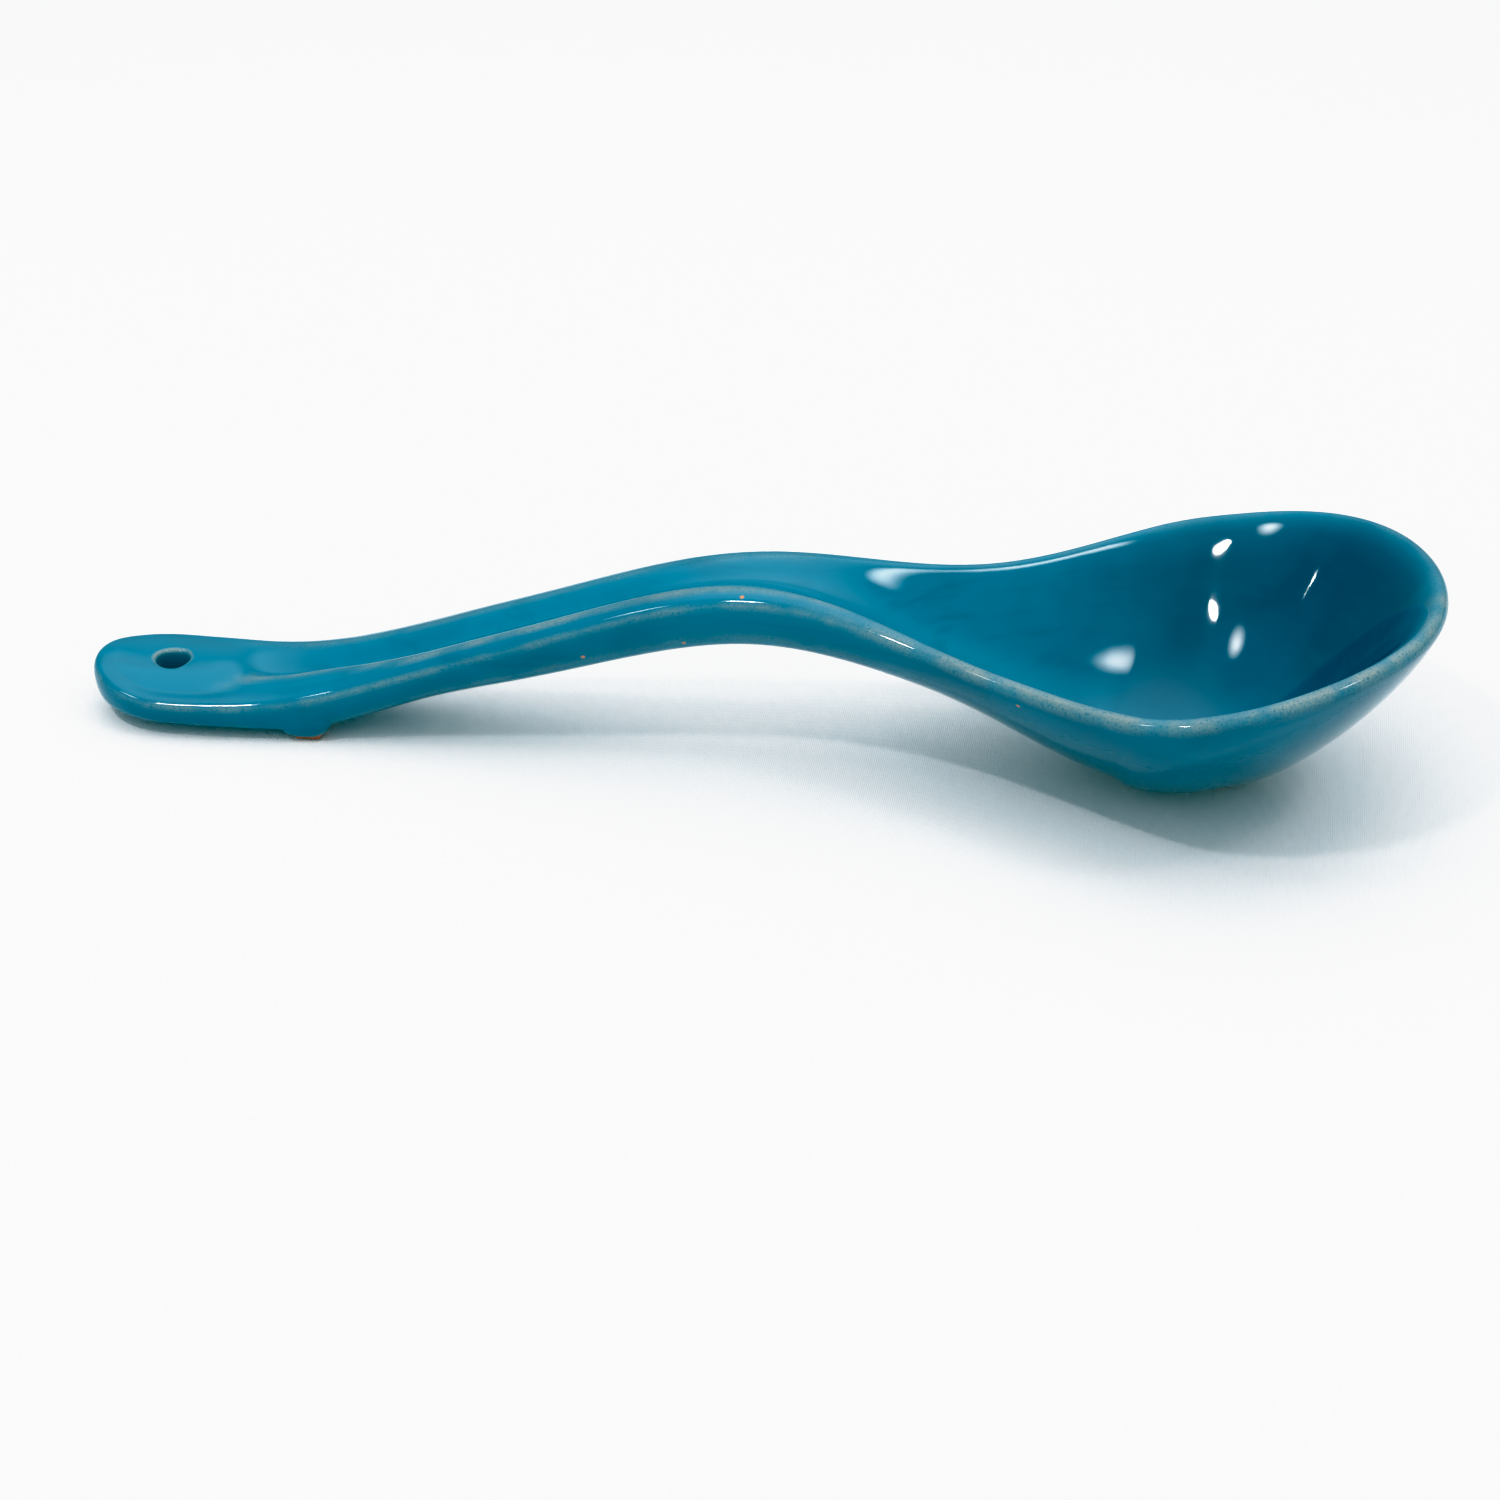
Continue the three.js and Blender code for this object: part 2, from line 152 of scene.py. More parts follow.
@dataclass
class SpoonForm:
    """The spoon's shape: its CAD model's sizes and curves, with a finer groove, lip and foot edge."""

    paddle_length: float = 32
    shank_length: float = 80
    neck_length: float = 58
    bowl_length: float = 70
    paddle_width: float = 27.3
    waist_width: float = 21.8
    neck_width: float = 20.6
    shoulder_width: float = 53.9
    bowl_width: float = 81.4
    bowl_widest_from_tip: float = 40.5
    shoulder_slope: float = 0.62
    waist_share: float = 0.39
    rise_share: float = 0.55
    crest_share: float = 0.21
    neck_underside_share: float = 0.83
    saddle_share: float = 0.93
    handle_end_height: float = 10.3
    paddle_height: float = 7.5
    crest_height: float = 33.8
    saddle_height: float = 28.7
    bowl_side_height: float = 32.2
    tip_height: float = 39.1
    handle_end_slope: float = -0.4
    bowl_side_slope: float = 0.18
    shank_steepness: float = 1.14
    handle_end_clearance: float = 2.3
    paddle_clearance: float = 1.55
    shank_thickness: float = 9.6
    crest_thickness: float = 11.6
    neck_wall: float = 5.2
    bowl_floor: float = 4.2
    edge_round: float = 1.8
    handle_land: float = 2
    rim_land: float = 0.6
    paddle_crown: float = 2.1
    lip_rise: float = 0.8
    far_rise_share: float = 1 / 3
    lip_from_edge: float = 4.2
    trough_end_lip_from_edge: float = 9.6
    trough_depth: float = 1.05
    trough_end_length: float = 10
    trough_end_fall: float = 7
    trough_end_depth: float = 0.9
    groove_ease: float = 2.2
    paddle_ease: float = 1.1
    crest_ease: float = 1.2
    bowl_ease: float = 1.25
    groove_fullness: float = 2
    hollow_fullness: float = 2.5
    paddle_under_fullness: float = 9
    shank_under_fullness: float = 2.6
    neck_under_fullness: float = 1.5
    bowl_under_fullness: float = 1.35
    handle_squareness: float = 2.2
    bowl_squareness: float = 1.2
    underside_flat: float = 8
    flat_end_slope: float = 0.4
    shank_underside_slope: float = 0.67
    neck_underside_height: float = 11.8
    neck_underside_slope: float = -0.45
    hole_diameter: float = 6.3
    hole_from_end: float = 15
    hole_lip: float = 1.0
    bar_length: float = 9.4
    bar_bottom: float = 4.8
    bar_from_end: float = 41.8
    bar_squareness: float = 25
    foot_length: float = 24
    foot_width: float = 11
    foot_from_tip: float = 44
    floor_before_foot: float = 6
    glaze: float = 0.5
    seat_gap: float = 0.3
    bare_clay: float = 0.6
    foot_edge: float = 0.15
    paddle_fan: float = 12.5
    bowl_fan: float = 47
    fan_crowding: float = 0.1
    round_arc: float = 0.5523
    bowl_front_arc: float = 0.575
    eased_arc: float = 0.39

    def __post_init__(self) -> None:
        """Places the stations along X and draws the curves through them."""
        length = self.paddle_length + self.shank_length + self.neck_length + self.bowl_length
        self.end_x = -length / 2
        self.tip_x = length / 2
        self.trough_x = self.end_x + self.paddle_length
        self.neck_x = self.trough_x + self.shank_length
        self.shank_x = self.trough_x + self.shank_length * self.rise_share
        self.crest_x = self.neck_x + self.neck_length * self.crest_share
        self.neck_underside_x = self.neck_x + self.neck_length * self.neck_underside_share
        self.saddle_x = self.neck_x + self.neck_length * self.saddle_share
        self.shoulder_x = self.neck_x + self.neck_length
        self.waist_x = self.trough_x + self.shank_length * self.waist_share
        self.widest_x = self.tip_x - self.bowl_widest_from_tip
        self.hole_x = self.end_x + self.hole_from_end
        self.bar_x = self.end_x + self.bar_from_end
        self.foot_x = self.tip_x - self.foot_from_tip
        self.floor_x = self.foot_x - self.floor_before_foot
        self._draw_heights()
        self._draw_sections()

    def _draw_heights(self) -> None:
        """Draws the heights of the edge, the underside and the top along X."""
        rise = self.crest_height - self.paddle_height
        slope = self.shank_steepness * rise / (self.crest_x - self.trough_x)
        middle = (self.paddle_height + self.crest_height) / 2
        half_end = self.trough_x - self.trough_end_length / 2
        self.edge = Profile(
            (self.end_x, self.handle_end_height, self.handle_end_slope),
            (half_end, self.paddle_height, 0),
            (self.shank_x, middle, slope),
            (self.crest_x, self.crest_height, 0),
            (self.saddle_x, self.saddle_height, 0),
            (self.widest_x, self.bowl_side_height, self.bowl_side_slope),
            (self.tip_x, self.tip_height, 0),
        )
        self.underside = Profile(
            (self.end_x, self.handle_end_clearance, 0),
            (half_end, self.paddle_clearance, 0),
            (self.trough_x + self.underside_flat, self.paddle_clearance, slope * self.flat_end_slope),
            (self.shank_x, middle - self.shank_thickness, slope * self.shank_underside_slope),
            (self.crest_x, self.crest_height - self.crest_thickness, 0),
            (self.neck_underside_x, self.neck_underside_height, self.neck_underside_slope),
            (self.floor_x, self.foot_edge, 0),
            (self.tip_x, self.foot_edge, 0),
        )
        crown = self.paddle_height + self.paddle_crown
        floor = self.bare_clay + self.bowl_floor
        self.top = Profile(
            (self.end_x, crown, 0),
            (self.trough_x - self.trough_end_fall, crown, 0),
            (self.trough_x, self.edge(self.trough_x) - self.trough_end_depth, 0),
            (self.shank_x, middle - self.trough_depth, slope),
            (self.crest_x, self.crest_height - self.trough_depth, 0),
            (self.neck_underside_x, self.neck_underside_height + self.neck_wall, self.neck_underside_slope),
            (self.tip_x - self.bowl_fan, floor, 0),
            (self.tip_x, floor, 0),
        )

    def _draw_sections(self) -> None:
        """Draws what the cross section does along X."""
        self.fan = Profile(
            (self.end_x, self.end_x + self.paddle_fan, self.fan_crowding),
            (self.trough_x, self.trough_x, 1),
            (self.shoulder_x, self.shoulder_x, 1),
            (self.tip_x, self.tip_x - self.bowl_fan, self.fan_crowding),
        )
        trough_start = self.trough_x - self.trough_end_length
        self.land = self._handle_to_bowl(self.handle_land, self.rim_land)
        self.top_fullness = self._handle_to_bowl(self.groove_fullness, self.hollow_fullness)
        self.under_squareness = self._handle_to_bowl(self.handle_squareness, self.bowl_squareness)
        self.under_fullness = Profile.level(
            (self.end_x, self.paddle_under_fullness),
            (self.bar_x, self.paddle_under_fullness),
            (self.waist_x, self.shank_under_fullness),
            (self.crest_x, self.shank_under_fullness),
            (self.neck_underside_x, self.neck_under_fullness),
            (self.tip_x, self.bowl_under_fullness),
        )
        self.edge_fall = Profile.level(
            (self.end_x, self.paddle_ease),
            (trough_start, self.paddle_ease),
            (self.trough_x, self.groove_ease),
            (self.neck_x, self.groove_ease),
            (self.crest_x, self.crest_ease),
            (self.neck_underside_x, self.bowl_ease),
            (self.tip_x, self.bowl_ease),
        )
        past_edge = self.edge_round + self.handle_land
        past_rim = self.edge_round + self.rim_land
        along_shank = (
            (self.waist_x, self.lip_from_edge),
            (self.crest_x, self.lip_from_edge),
            (self.neck_underside_x, past_rim),
            (self.tip_x, past_rim),
        )
        self.far_lip = Profile.level((self.end_x, past_edge), (self.trough_x, past_edge), *along_shank)
        self.near_lip = Profile.level(
            (self.end_x, past_edge),
            (trough_start, past_edge),
            (self.trough_x, self.trough_end_lip_from_edge),
            (self.bar_x, self.trough_end_lip_from_edge),
            *along_shank,
        )
        to_bowl = (self.crest_x, self.lip_rise), (self.neck_underside_x, 0), (self.tip_x, 0)
        self.near_rise = Profile.level((self.end_x, 0), (trough_start, 0), (self.trough_x, self.lip_rise), *to_bowl)
        far_start = self.end_x + self.paddle_length * self.far_rise_share
        self.far_rise = Profile.level((self.end_x, 0), (far_start, self.lip_rise), *to_bowl)

    def _handle_to_bowl(self, handle: float, bowl: float) -> Profile:
        """Draws a factor with one value on the handle, up to the crest, and another on the bowl."""
        ends = (self.end_x, handle), (self.crest_x, handle), (self.neck_underside_x, bowl), (self.tip_x, bowl)
        return Profile.level(*ends)

    def lip_inset(self, station: Station) -> float:
        """Distance of the groove's lip from the outline, larger on the near side of the groove's start."""
        return (self.near_lip if station.near else self.far_lip)(station.at.x)

    def lip_height(self, station: Station, inset: float) -> float:
        """Height that the groove's lip adds.

        Args:
            station: The cross line's station.
            inset: Distance inwards from the outline.

        Returns:
            Rise in millimetres, 0 at the outline and full from the lip inwards.
        """
        share = min(inset / self.lip_inset(station), 1.0)
        rise = self.near_rise if station.near else self.far_rise
        return rise(station.at.x) * (1 - (1 - share) ** 2)

    def top_point(self, station: Station, q: float) -> Vector:
        """Point of a cross line on the top.

        Args:
            station: The cross line's station.
            q: 0 at the land's inner side and 1 on the middle line.

        Returns:
            The point in millimetres.
        """
        x = station.at.x
        start = self.top_start(station)
        plan = start.lerp(station.foot, q)
        past_edge = self.edge_round + self.land(x)
        inset = past_edge + (plan - start).length
        lip = self.lip_inset(station)
        way = past_edge + (station.foot - start).length - lip
        inside = clamped((inset - lip) / way) if way > 0 else q
        fall = 1 - (1 - inside ** self.edge_fall(x)) ** self.top_fullness(x)
        high = self.edge(x) + self.lip_height(station, inset)
        return Vector((plan.x, plan.y, high + (self.top(station.foot.x) - high) * fall))

    def top_start(self, station: Station) -> Vector:
        """Plan point at the inner side of a station's land."""
        return station.at + station.inward * (self.edge_round + self.land(station.at.x))

    def edge_point(self, station: Station, turn: float) -> Vector:
        """Point of a station on the rounded edge.

        Args:
            station: The station.
            turn: 0 at the outermost line and a quarter turn on top.

        Returns:
            The point in millimetres.
        """
        inset = self.edge_round * (1 - math.cos(turn))
        plan = station.at + station.inward * inset
        high = self.edge(station.at.x) + self.lip_height(station, inset)
        return Vector((plan.x, plan.y, high - self.edge_round * (1 - math.sin(turn))))

    def bar_share(self, x: float) -> float:
        """How far the foot bar has come down.

        Args:
            x: Place along the spoon.

        Returns:
            0 beside the bar and 1 along its bottom.
        """
        half, bottom = self.bar_length / 2, self.bar_bottom / 2
        t = clamped((half - abs(x - self.bar_x)) / (half - bottom))
        return t * t * (3 - 2 * t)

    def under_point(self, station: Station, q: float) -> Vector:
        """Point of a cross line on the underside.

        Args:
            station: The cross line's station.
            q: 0 at the outermost line and 1 on the middle line.

        Returns:
            The point in millimetres.
        """
        x = station.at.x
        bar = self.bar_share(x)
        plan = station.at.lerp(station.foot, q)
        rest = 1 - min(q / self.foot.entry(station.at, station.foot), 1.0)
        fullness = self.under_fullness(x) * (1 - bar) + self.bar_squareness * bar
        drop = (1 - rest ** fullness) ** (1 / self.under_squareness(x))
        high = self.edge(x) - self.edge_round
        low = self.underside(station.foot.x) * (1 - bar) + self.bare_clay * bar
        return Vector((plan.x, plan.y, high + (low - high) * drop))

    @property
    def hole(self) -> Opening:
        """The hanging hole at its lip."""
        radius = self.hole_diameter / 2 + self.hole_lip
        return Opening(self.hole_x, radius, radius)

    @property
    def foot(self) -> Opening:
        """The bare oval foot under the bowl, as the coat leaves it open."""
        return Opening(self.foot_x, self.foot_length / 2 + self.seat_gap, self.foot_width / 2 + self.seat_gap)


class Outline:
    """Half of the spoon's plan outline, from the handle's end to the bowl's tip."""

    SAMPLES_PER_CURVE = 160

    def __init__(self, form: SpoonForm) -> None:
        """Draws the outline's curves and samples them.

        Args:
            form: The spoon's shape.
        """
        self.form = form
        ahead = Vector((1, 0))
        points = [
            (Vector((form.end_x, 0)), Vector((0, 1)), form.round_arc),
            (Vector((form.end_x + form.paddle_length / 2, form.paddle_width / 2)), ahead, form.eased_arc),
            (Vector((form.waist_x, form.waist_width / 2)), ahead, form.eased_arc),
            (Vector((form.neck_x, form.neck_width / 2)), ahead, form.eased_arc),
            (Vector((form.shoulder_x, form.shoulder_width / 2)), Vector((1, form.shoulder_slope)).normalized(),
             form.eased_arc),
            (Vector((form.widest_x, form.bowl_width / 2)), ahead, form.bowl_front_arc),
            (Vector((form.tip_x, 0)), Vector((0, -1)), form.bowl_front_arc),
        ]
        self.curves = [self._curve(start, stop) for start, stop in zip(points[:-1], points[1:])]
        count = len(self.curves) * self.SAMPLES_PER_CURVE
        self.samples = np.linspace(0, len(self.curves), count + 1)
        self.stations = [self.station(t) for t in self.samples]
        places = np.array([station.at for station in self.stations])
        steps = np.hypot(*np.diff(places, axis=0).T)
        self.run = np.concatenate([[0.0], np.cumsum(steps)])
        self.feet = np.array([station.foot.x for station in self.stations])

    @staticmethod
    def _curve(start: tuple[Vector, Vector, float], stop: tuple[Vector, Vector, float]) -> list[Vector]:
        """Draws the curve that leaves and reaches two points in given directions.

        Args:
            start: First point, its direction and the fullness of the curve.
            stop: Last point, its direction and a fullness that isn't read.

        Returns:
            The curve's four control points.
        """
        chord = stop[0] - start[0]
        fullness = start[2]
        reach0 = abs(chord.dot(start[1])) * fullness
        reach1 = abs(chord.dot(stop[1])) * fullness
        return [start[0], start[0] + start[1] * reach0, stop[0] - stop[1] * reach1, stop[0]]

    def station(self, t: float) -> Station:
        """Station at a parameter of the outline.

        Args:
            t: Number of the curve, plus the share along it.

        Returns:
            The station.
        """
        i = min(int(t), len(self.curves) - 1)
        u = t - i
        s = 1 - u
        p0, p1, p2, p3 = self.curves[i]
        at = p0 * s ** 3 + p1 * (3 * s * s * u) + p2 * (3 * s * u * u) + p3 * u ** 3
        way = (p1 - p0) * (s * s) + (p2 - p1) * (2 * s * u) + (p3 - p2) * (u * u)
        way.normalize()
        return Station(at, Vector((way.y, -way.x)), Vector((self.form.fan(at.x), 0.0)))

    def at_foot(self, x: float) -> float:
        """Parameter of the station whose cross line stands at one place of the middle line."""
        return float(np.interp(x, self.feet, self.samples))

    def spread(self, start: float, stop: float, count: int) -> list[float]:
        """Parameters that are evenly far apart along the outline, one for each step, without the stop."""
        ends = np.interp([start, stop], self.samples, self.run)
        return list(np.interp(np.linspace(*ends, count + 1)[:-1], self.run, self.samples))

    def round_opening(self, opening: Opening, start: float, stop: float, count: int) -> list[float]:
        """Parameters whose cross lines meet an opening at even turns round it.

        Args:
            opening: The opening.
            start: Parameter of the line at the opening's near end.
            stop: Parameter of the line at its far end, which isn't in the list.
            count: Number of steps.

        Returns:
            One parameter for each step.
        """
        inside = np.linspace(start, stop, self.SAMPLES_PER_CURVE)
        turns = []
        for t in inside:
            station = self.station(t)
            point = station.at.lerp(station.foot, opening.entry(station.at, station.foot))
            turns.append(math.atan2(point.y / opening.half_width, (opening.x - point.x) / opening.half_length))
        wanted = np.linspace(turns[0], turns[-1], count + 1)[:-1]
        return list(np.interp(wanted, np.maximum.accumulate(turns), inside))

    def shared(self, opening: Opening, start: float, stop: float, count: int) -> list[float]:
        """Parameters halfway between an even spread and even turns round an opening.

        Args:
            opening: The opening.
            start: First parameter.
            stop: Parameter that the last step ends on, which isn't in the list.
            count: Number of steps.

        Returns:
            One parameter for each step.
        """
        even = self.spread(start, stop, count)
        turned = self.round_opening(opening, start, stop, count)
        return [(a + b) / 2 for a, b in zip(even, turned)]


@dataclass(frozen=True)
class Ring:
    """One ring of the coat: where its points are, how thin the glaze runs there and how much painted shade it carries.
    """

    place: Callable[[Station], Vector]
    thin: Callable[[Station], float]
    painted_shading: Callable[[Station], float]


@dataclass
class CoatMesh:
    """Fineness of the coat's cage, before its subdivision."""

    hole_steps: int = 11
    before_bar_steps: int = 6
    bar_steps: tuple[float, ...] = (-5.6, -4.7, -4.2, -3.75, -3.3, -1.6, 0, 1.6, 3.3, 3.75, 4.2, 4.7)
    bar_end: float = 5.6
    bar_open: float = 3.4
    bar_open_ring: int = 3
    handle_steps: int = 19
    bowl_steps: int = 20
    edge_steps: int = 3
    top_rings: int = 7
    under_rings: int = 9
    lip_steps: int = 3
    levels: int = 2


class GlazeCoat:
    """The glass coat over bowl, handle and foot bar, open at the two bare feet."""

    NAME = "glaze_coat_skin"
    TOP_CROWDING = 1.5
    NEAR_ZERO = MM * 1e-3
    OPENING_MARGIN = 1.05
    LIP_THIN = 0.6
    LIP_BAND = 1.4
    RIM_THIN = 0.3
    RIM_BAND = 0.8
    SIDE_THIN = (0.08, 0.3)
    EDGE_THIN = ((0.5, 0.6), (0.05, 0.85), (0.0, 0.55))
    CORNER_THIN = (0.0, 0.08, 0.27, 0.08)
    HOLE_THIN = (0.9, 0.5, 0.0)
    BARE_EDGE_THIN = 0.9
    FAR_WEAR = 0.4
    # Painted shade: the bowl's walls, which face away from the light, are painted darkest from WALL_START of the way
    # in, the bowl's floor, which faces the light, is painted lighter, the handle's edges and the rim get little, and
    # the sides and underside get a middle shade.
    WALL_START = 0.08
    FLOOR_PAINTED_LIGHT = 0.9
    EDGE_PAINTED_SHADE = 0.12
    RIM_PAINTED_SHADE = 0.15
    SIDE_PAINTED_SHADE = (0.3, 0.5)

    def __init__(self, form: SpoonForm, mesh: CoatMesh, finish: "GlazeFinish") -> None:
        """Chooses the stations that the cage runs through and starts the cage.

        Args:
            form: The spoon's shape.
            mesh: Fineness of the cage.
            finish: The glaze's finish.
        """
        self.form = form
        self.mesh = mesh
        self.finish = finish
        outline = Outline(form)
        hole_end = outline.at_foot(form.hole_x + form.hole.half_length)
        bar_start = outline.at_foot(form.bar_x + mesh.bar_steps[0])
        bar_end = outline.at_foot(form.bar_x + mesh.bar_end)
        foot_start = outline.at_foot(form.foot_x - form.foot.half_length)
        last = outline.samples[-1]
        marks = outline.shared(form.hole, 0.0, hole_end, mesh.hole_steps)
        marks += outline.spread(hole_end, bar_start, mesh.before_bar_steps)
        marks += [outline.at_foot(form.bar_x + step) for step in mesh.bar_steps]
        marks += outline.spread(bar_end, foot_start, mesh.handle_steps)
        marks += outline.shared(form.foot, foot_start, last, mesh.bowl_steps)
        self.stations = [outline.station(t) for t in [*marks, last]]
        self.cage = bmesh.new()
        layers = self.cage.verts.layers
        self.tag = layers.int.new("station")
        self.side = layers.int.new("side")
        self.ring = layers.int.new("ring")
        self.thin = layers.float.new(THIN_GLAZE)
        self.painted_shading = layers.float.new(PAINTED_SHADE)

    def build(self) -> bpy.types.Object:
        """Grows the skin and makes it an object.

        Returns:
            The coat, with its thickness and its subdivision as modifiers.
        """
        widest = self._outline_loop()
        self._cover(widest, self._top_rings(), Side.TOP)
        self._cover(widest, self._under_rings(), Side.UNDER)
        self._close_middle()
        self._line_hole()
        self._bare_bar()
        self._mark_foot()
        bmesh.ops.recalc_face_normals(self.cage, faces=self.cage.faces)
        coat = new_object(self.NAME, self.cage)
        shell = coat.modifiers.new("glaze thickness", "SOLIDIFY")
        shell.thickness = self.form.glaze * MM
        shell.offset = -1
        smooth = coat.modifiers.new("smooth", "SUBSURF")
        smooth.levels = self.mesh.levels
        smooth.render_levels = self.mesh.levels
        return coat

    def _station_of(self, tag: int) -> tuple[Station, int]:
        """Looks up what a tag of the cage stands for.

        Args:
            tag: Number of the tag round the outline.

        Returns:
            The station, and 1 on the far side of the mirror plane or -1 on the near side.
        """
        last = len(self.stations) - 1
        if tag <= last:
            return self.stations[tag], 1
        return replace(self.stations[2 * last - tag], near=True), -1

    def _set(self, vert: BMVert, ring: Ring) -> None:
        """Moves a vertex of the cage to its place on a ring and marks its thin glaze and its painted shade.

        Args:
            vert: The vertex.
            ring: The ring.
        """
        station, hand = self._station_of(vert[self.tag])
        point = ring.place(station)
        vert.co = Vector((point.x, hand * point.y, point.z)) * MM
        vert[self.thin] = ring.thin(station) * (1.0 if station.near else self.FAR_WEAR)
        vert[self.painted_shading] = ring.painted_shading(station)

    def _outline_loop(self) -> list[BMEdge]:
        """Starts the cage with a loop along the spoon's outermost line.

        Returns:
            The loop's edges.
        """
        count = 2 * (len(self.stations) - 1)
        circle = bmesh.ops.create_circle(self.cage, segments=count, radius=1)["verts"]
        place = partial(self.form.edge_point, turn=0.0)
        ring = Ring(place, self._blended(*self.SIDE_THIN), self._blended(*self.SIDE_PAINTED_SHADE))
        for i, vert in enumerate(circle):
            vert[self.tag] = i
            self._set(vert, ring)
        return list(self.cage.edges)

    def _extrude(self, loop: list[BMEdge]) -> tuple[list[BMVert], list[BMEdge]]:
        """Extrudes open edges of the cage once.

        Args:
            loop: Edges to extrude.

        Returns:
            The new vertices, which still lie on the old ones, and the new loop's edges.
        """
        made = bmesh.ops.extrude_edge_only(self.cage, edges=loop)["geom"]
        verts = [item for item in made if isinstance(item, BMVert)]
        fresh = set(verts)
        edges = [item for item in made if isinstance(item, BMEdge) and fresh.issuperset(item.verts)]
        return verts, edges

    def _cover(self, loop: list[BMEdge], rings: Iterable[Ring], side: Side) -> None:
        """Grows a loop inwards over one face of the spoon, ring by ring.

        Args:
            loop: Edges of the outermost line.
            rings: The rings, from the outermost to the middle.
            side: The face of the spoon.
        """
        for i, ring in enumerate(rings):
            verts, loop = self._extrude(loop)
            for vert in verts:
                vert[self.side] = side.value
                vert[self.ring] = i + 1
                self._set(vert, ring)

    def _blended(self, handle: float, rim: float) -> Callable[[Station], float]:
        """Mark of a ring that has one value on the handle and another on the bowl's rim."""
        return partial(self._handle_or_rim, handle=handle, rim=rim)

    def _handle_or_rim(self, station: Station, handle: float, rim: float) -> float:
        """Blends a value of the handle into one of the bowl's rim."""
        share = self._rim_share(station)
        return handle * (1 - share) + rim * share

    def _rim_share(self, station: Station) -> float:
        """0 on the handle and 1 on the bowl's rim."""
        form = self.form
        return clamped((station.at.x - form.crest_x) / (form.neck_underside_x - form.crest_x))

    def _top_rings(self) -> list[Ring]:
        """Lists the rings of the top.

        Returns:
            Rings from the rounded edge to the middle.
        """
        form, mesh = self.form, self.mesh
        rings = []
        for i in range(1, mesh.edge_steps + 1):
            place = partial(form.edge_point, turn=i / mesh.edge_steps * QUARTER)
            thin = self._blended(*self.EDGE_THIN[i - 1])
            rings.append(Ring(place, thin, self._blended(self.EDGE_PAINTED_SHADE, self.RIM_PAINTED_SHADE)))
        for i in range(mesh.top_rings + 1):
            share = (i / mesh.top_rings) ** self.TOP_CROWDING
            parts = (self._on_top, self._top_thin, self._top_painted_shade)
            rings.append(Ring(*(partial(part, share=share) for part in parts)))
        return rings

    def _top_thin(self, station: Station, share: float) -> float:
        """How thin the glaze runs on the top: on the groove's lip and inside the rim.

        Args:
            station: The cross line's station.
            share: Share of the way from the land to the middle.

        Returns:
            0 for thick glaze and 1 for glaze that shows the clay through it.
        """
        form, x = self.form, station.at.x
        start = form.top_start(station)
        reach = (station.foot - start).length * form.hole.entry(start, station.foot)
        inset = form.edge_round + form.land(x) + share * reach
        on_lip = self.LIP_THIN * math.exp(-(((inset - form.lip_inset(station)) / self.LIP_BAND) ** 2))
        on_rim = self.RIM_THIN * math.exp(-((share * reach / self.RIM_BAND) ** 2))
        return self._handle_or_rim(station, on_lip * form.near_rise(x) / form.lip_rise, on_rim)

    def _top_painted_shade(self, station: Station, share: float) -> float:
        """Painted shade on the top: little on the handle, most on the bowl's walls, which face away from the light,
        and less on the bowl's floor, which faces it.

        Args:
            station: The cross line's station.
            share: Share of the way from the land to the middle.

        Returns:
            0 for the pale, unshaded glaze colour and 1 for the darkest painted shade.
        """
        form, inside = self.form, min(share / self.WALL_START, 1.0)
        bowl = clamped((station.at.x - form.saddle_x) / (form.widest_x - form.saddle_x))
        wall = self.RIM_PAINTED_SHADE + (1 - self.RIM_PAINTED_SHADE) * inside - self.FLOOR_PAINTED_LIGHT * share ** 2
        return self.EDGE_PAINTED_SHADE * (1 - inside) * (1 - bowl) + wall * bowl

    def _on_top(self, station: Station, share: float) -> Vector:
        """Point at a share of the way over the top, up to the hole's lip or the middle line."""
        q = self.form.hole.entry(self.form.top_start(station), station.foot)
        return self.form.top_point(station, share * q)

    def _under_rings(self) -> list[Ring]:
        """Lists the rings of the underside.

        Returns:
            Rings from the outermost line to the middle.
        """
        rings = []
        for i in range(1, self.mesh.under_rings + 1):
            share = 1 - math.cos(i / self.mesh.under_rings * QUARTER)
            thin = self.CORNER_THIN[i - 1] if i <= len(self.CORNER_THIN) else 0.0
            place = partial(self._on_underside, share=share)
            rings.append(Ring(place, self._blended(thin, 0.0), self._blended(*self.SIDE_PAINTED_SHADE)))
        return rings

    def _on_underside(self, station: Station, share: float) -> Vector:
        """Point of a cross line on the underside, up to an opening or the middle line.

        Args:
            station: The cross line's station.
            share: Share of the way from the outermost line.

        Returns:
            The point in millimetres.
        """
        openings = (self.form.hole, self.form.foot)
        q = min(opening.entry(station.at, station.foot) for opening in openings)
        return self.form.under_point(station, share * q)

    def _close_middle(self) -> None:
        """Zips both sides together along the middle line and removes the double face at the bowl's end."""
        verts = self.cage.verts
        middle = [vert for vert in verts if vert.is_boundary and abs(vert.co.y) < self.NEAR_ZERO]
        bmesh.ops.remove_doubles(self.cage, verts=middle, dist=self.NEAR_ZERO)
        ends = [vert for vert in verts if len(vert.link_edges) == 2 and len(vert.link_faces) == 2]
        bmesh.ops.dissolve_verts(self.cage, verts=ends)

    def _boundary(self, opening: Opening, side: Side) -> list[BMEdge]:
        """Finds the open edges round one opening on one face of the spoon.

        Args:
            opening: The opening.
            side: The face of the spoon.

        Returns:
            The edges.
        """
        def is_there(vert: BMVert) -> bool:
            """Whether a vertex lies at the opening."""
            across = abs(vert.co.x / MM - opening.x) < opening.half_length * self.OPENING_MARGIN
            return vert[self.side] == side.value and across

        return [edge for edge in self.cage.edges if edge.is_boundary and all(map(is_there, edge.verts))]

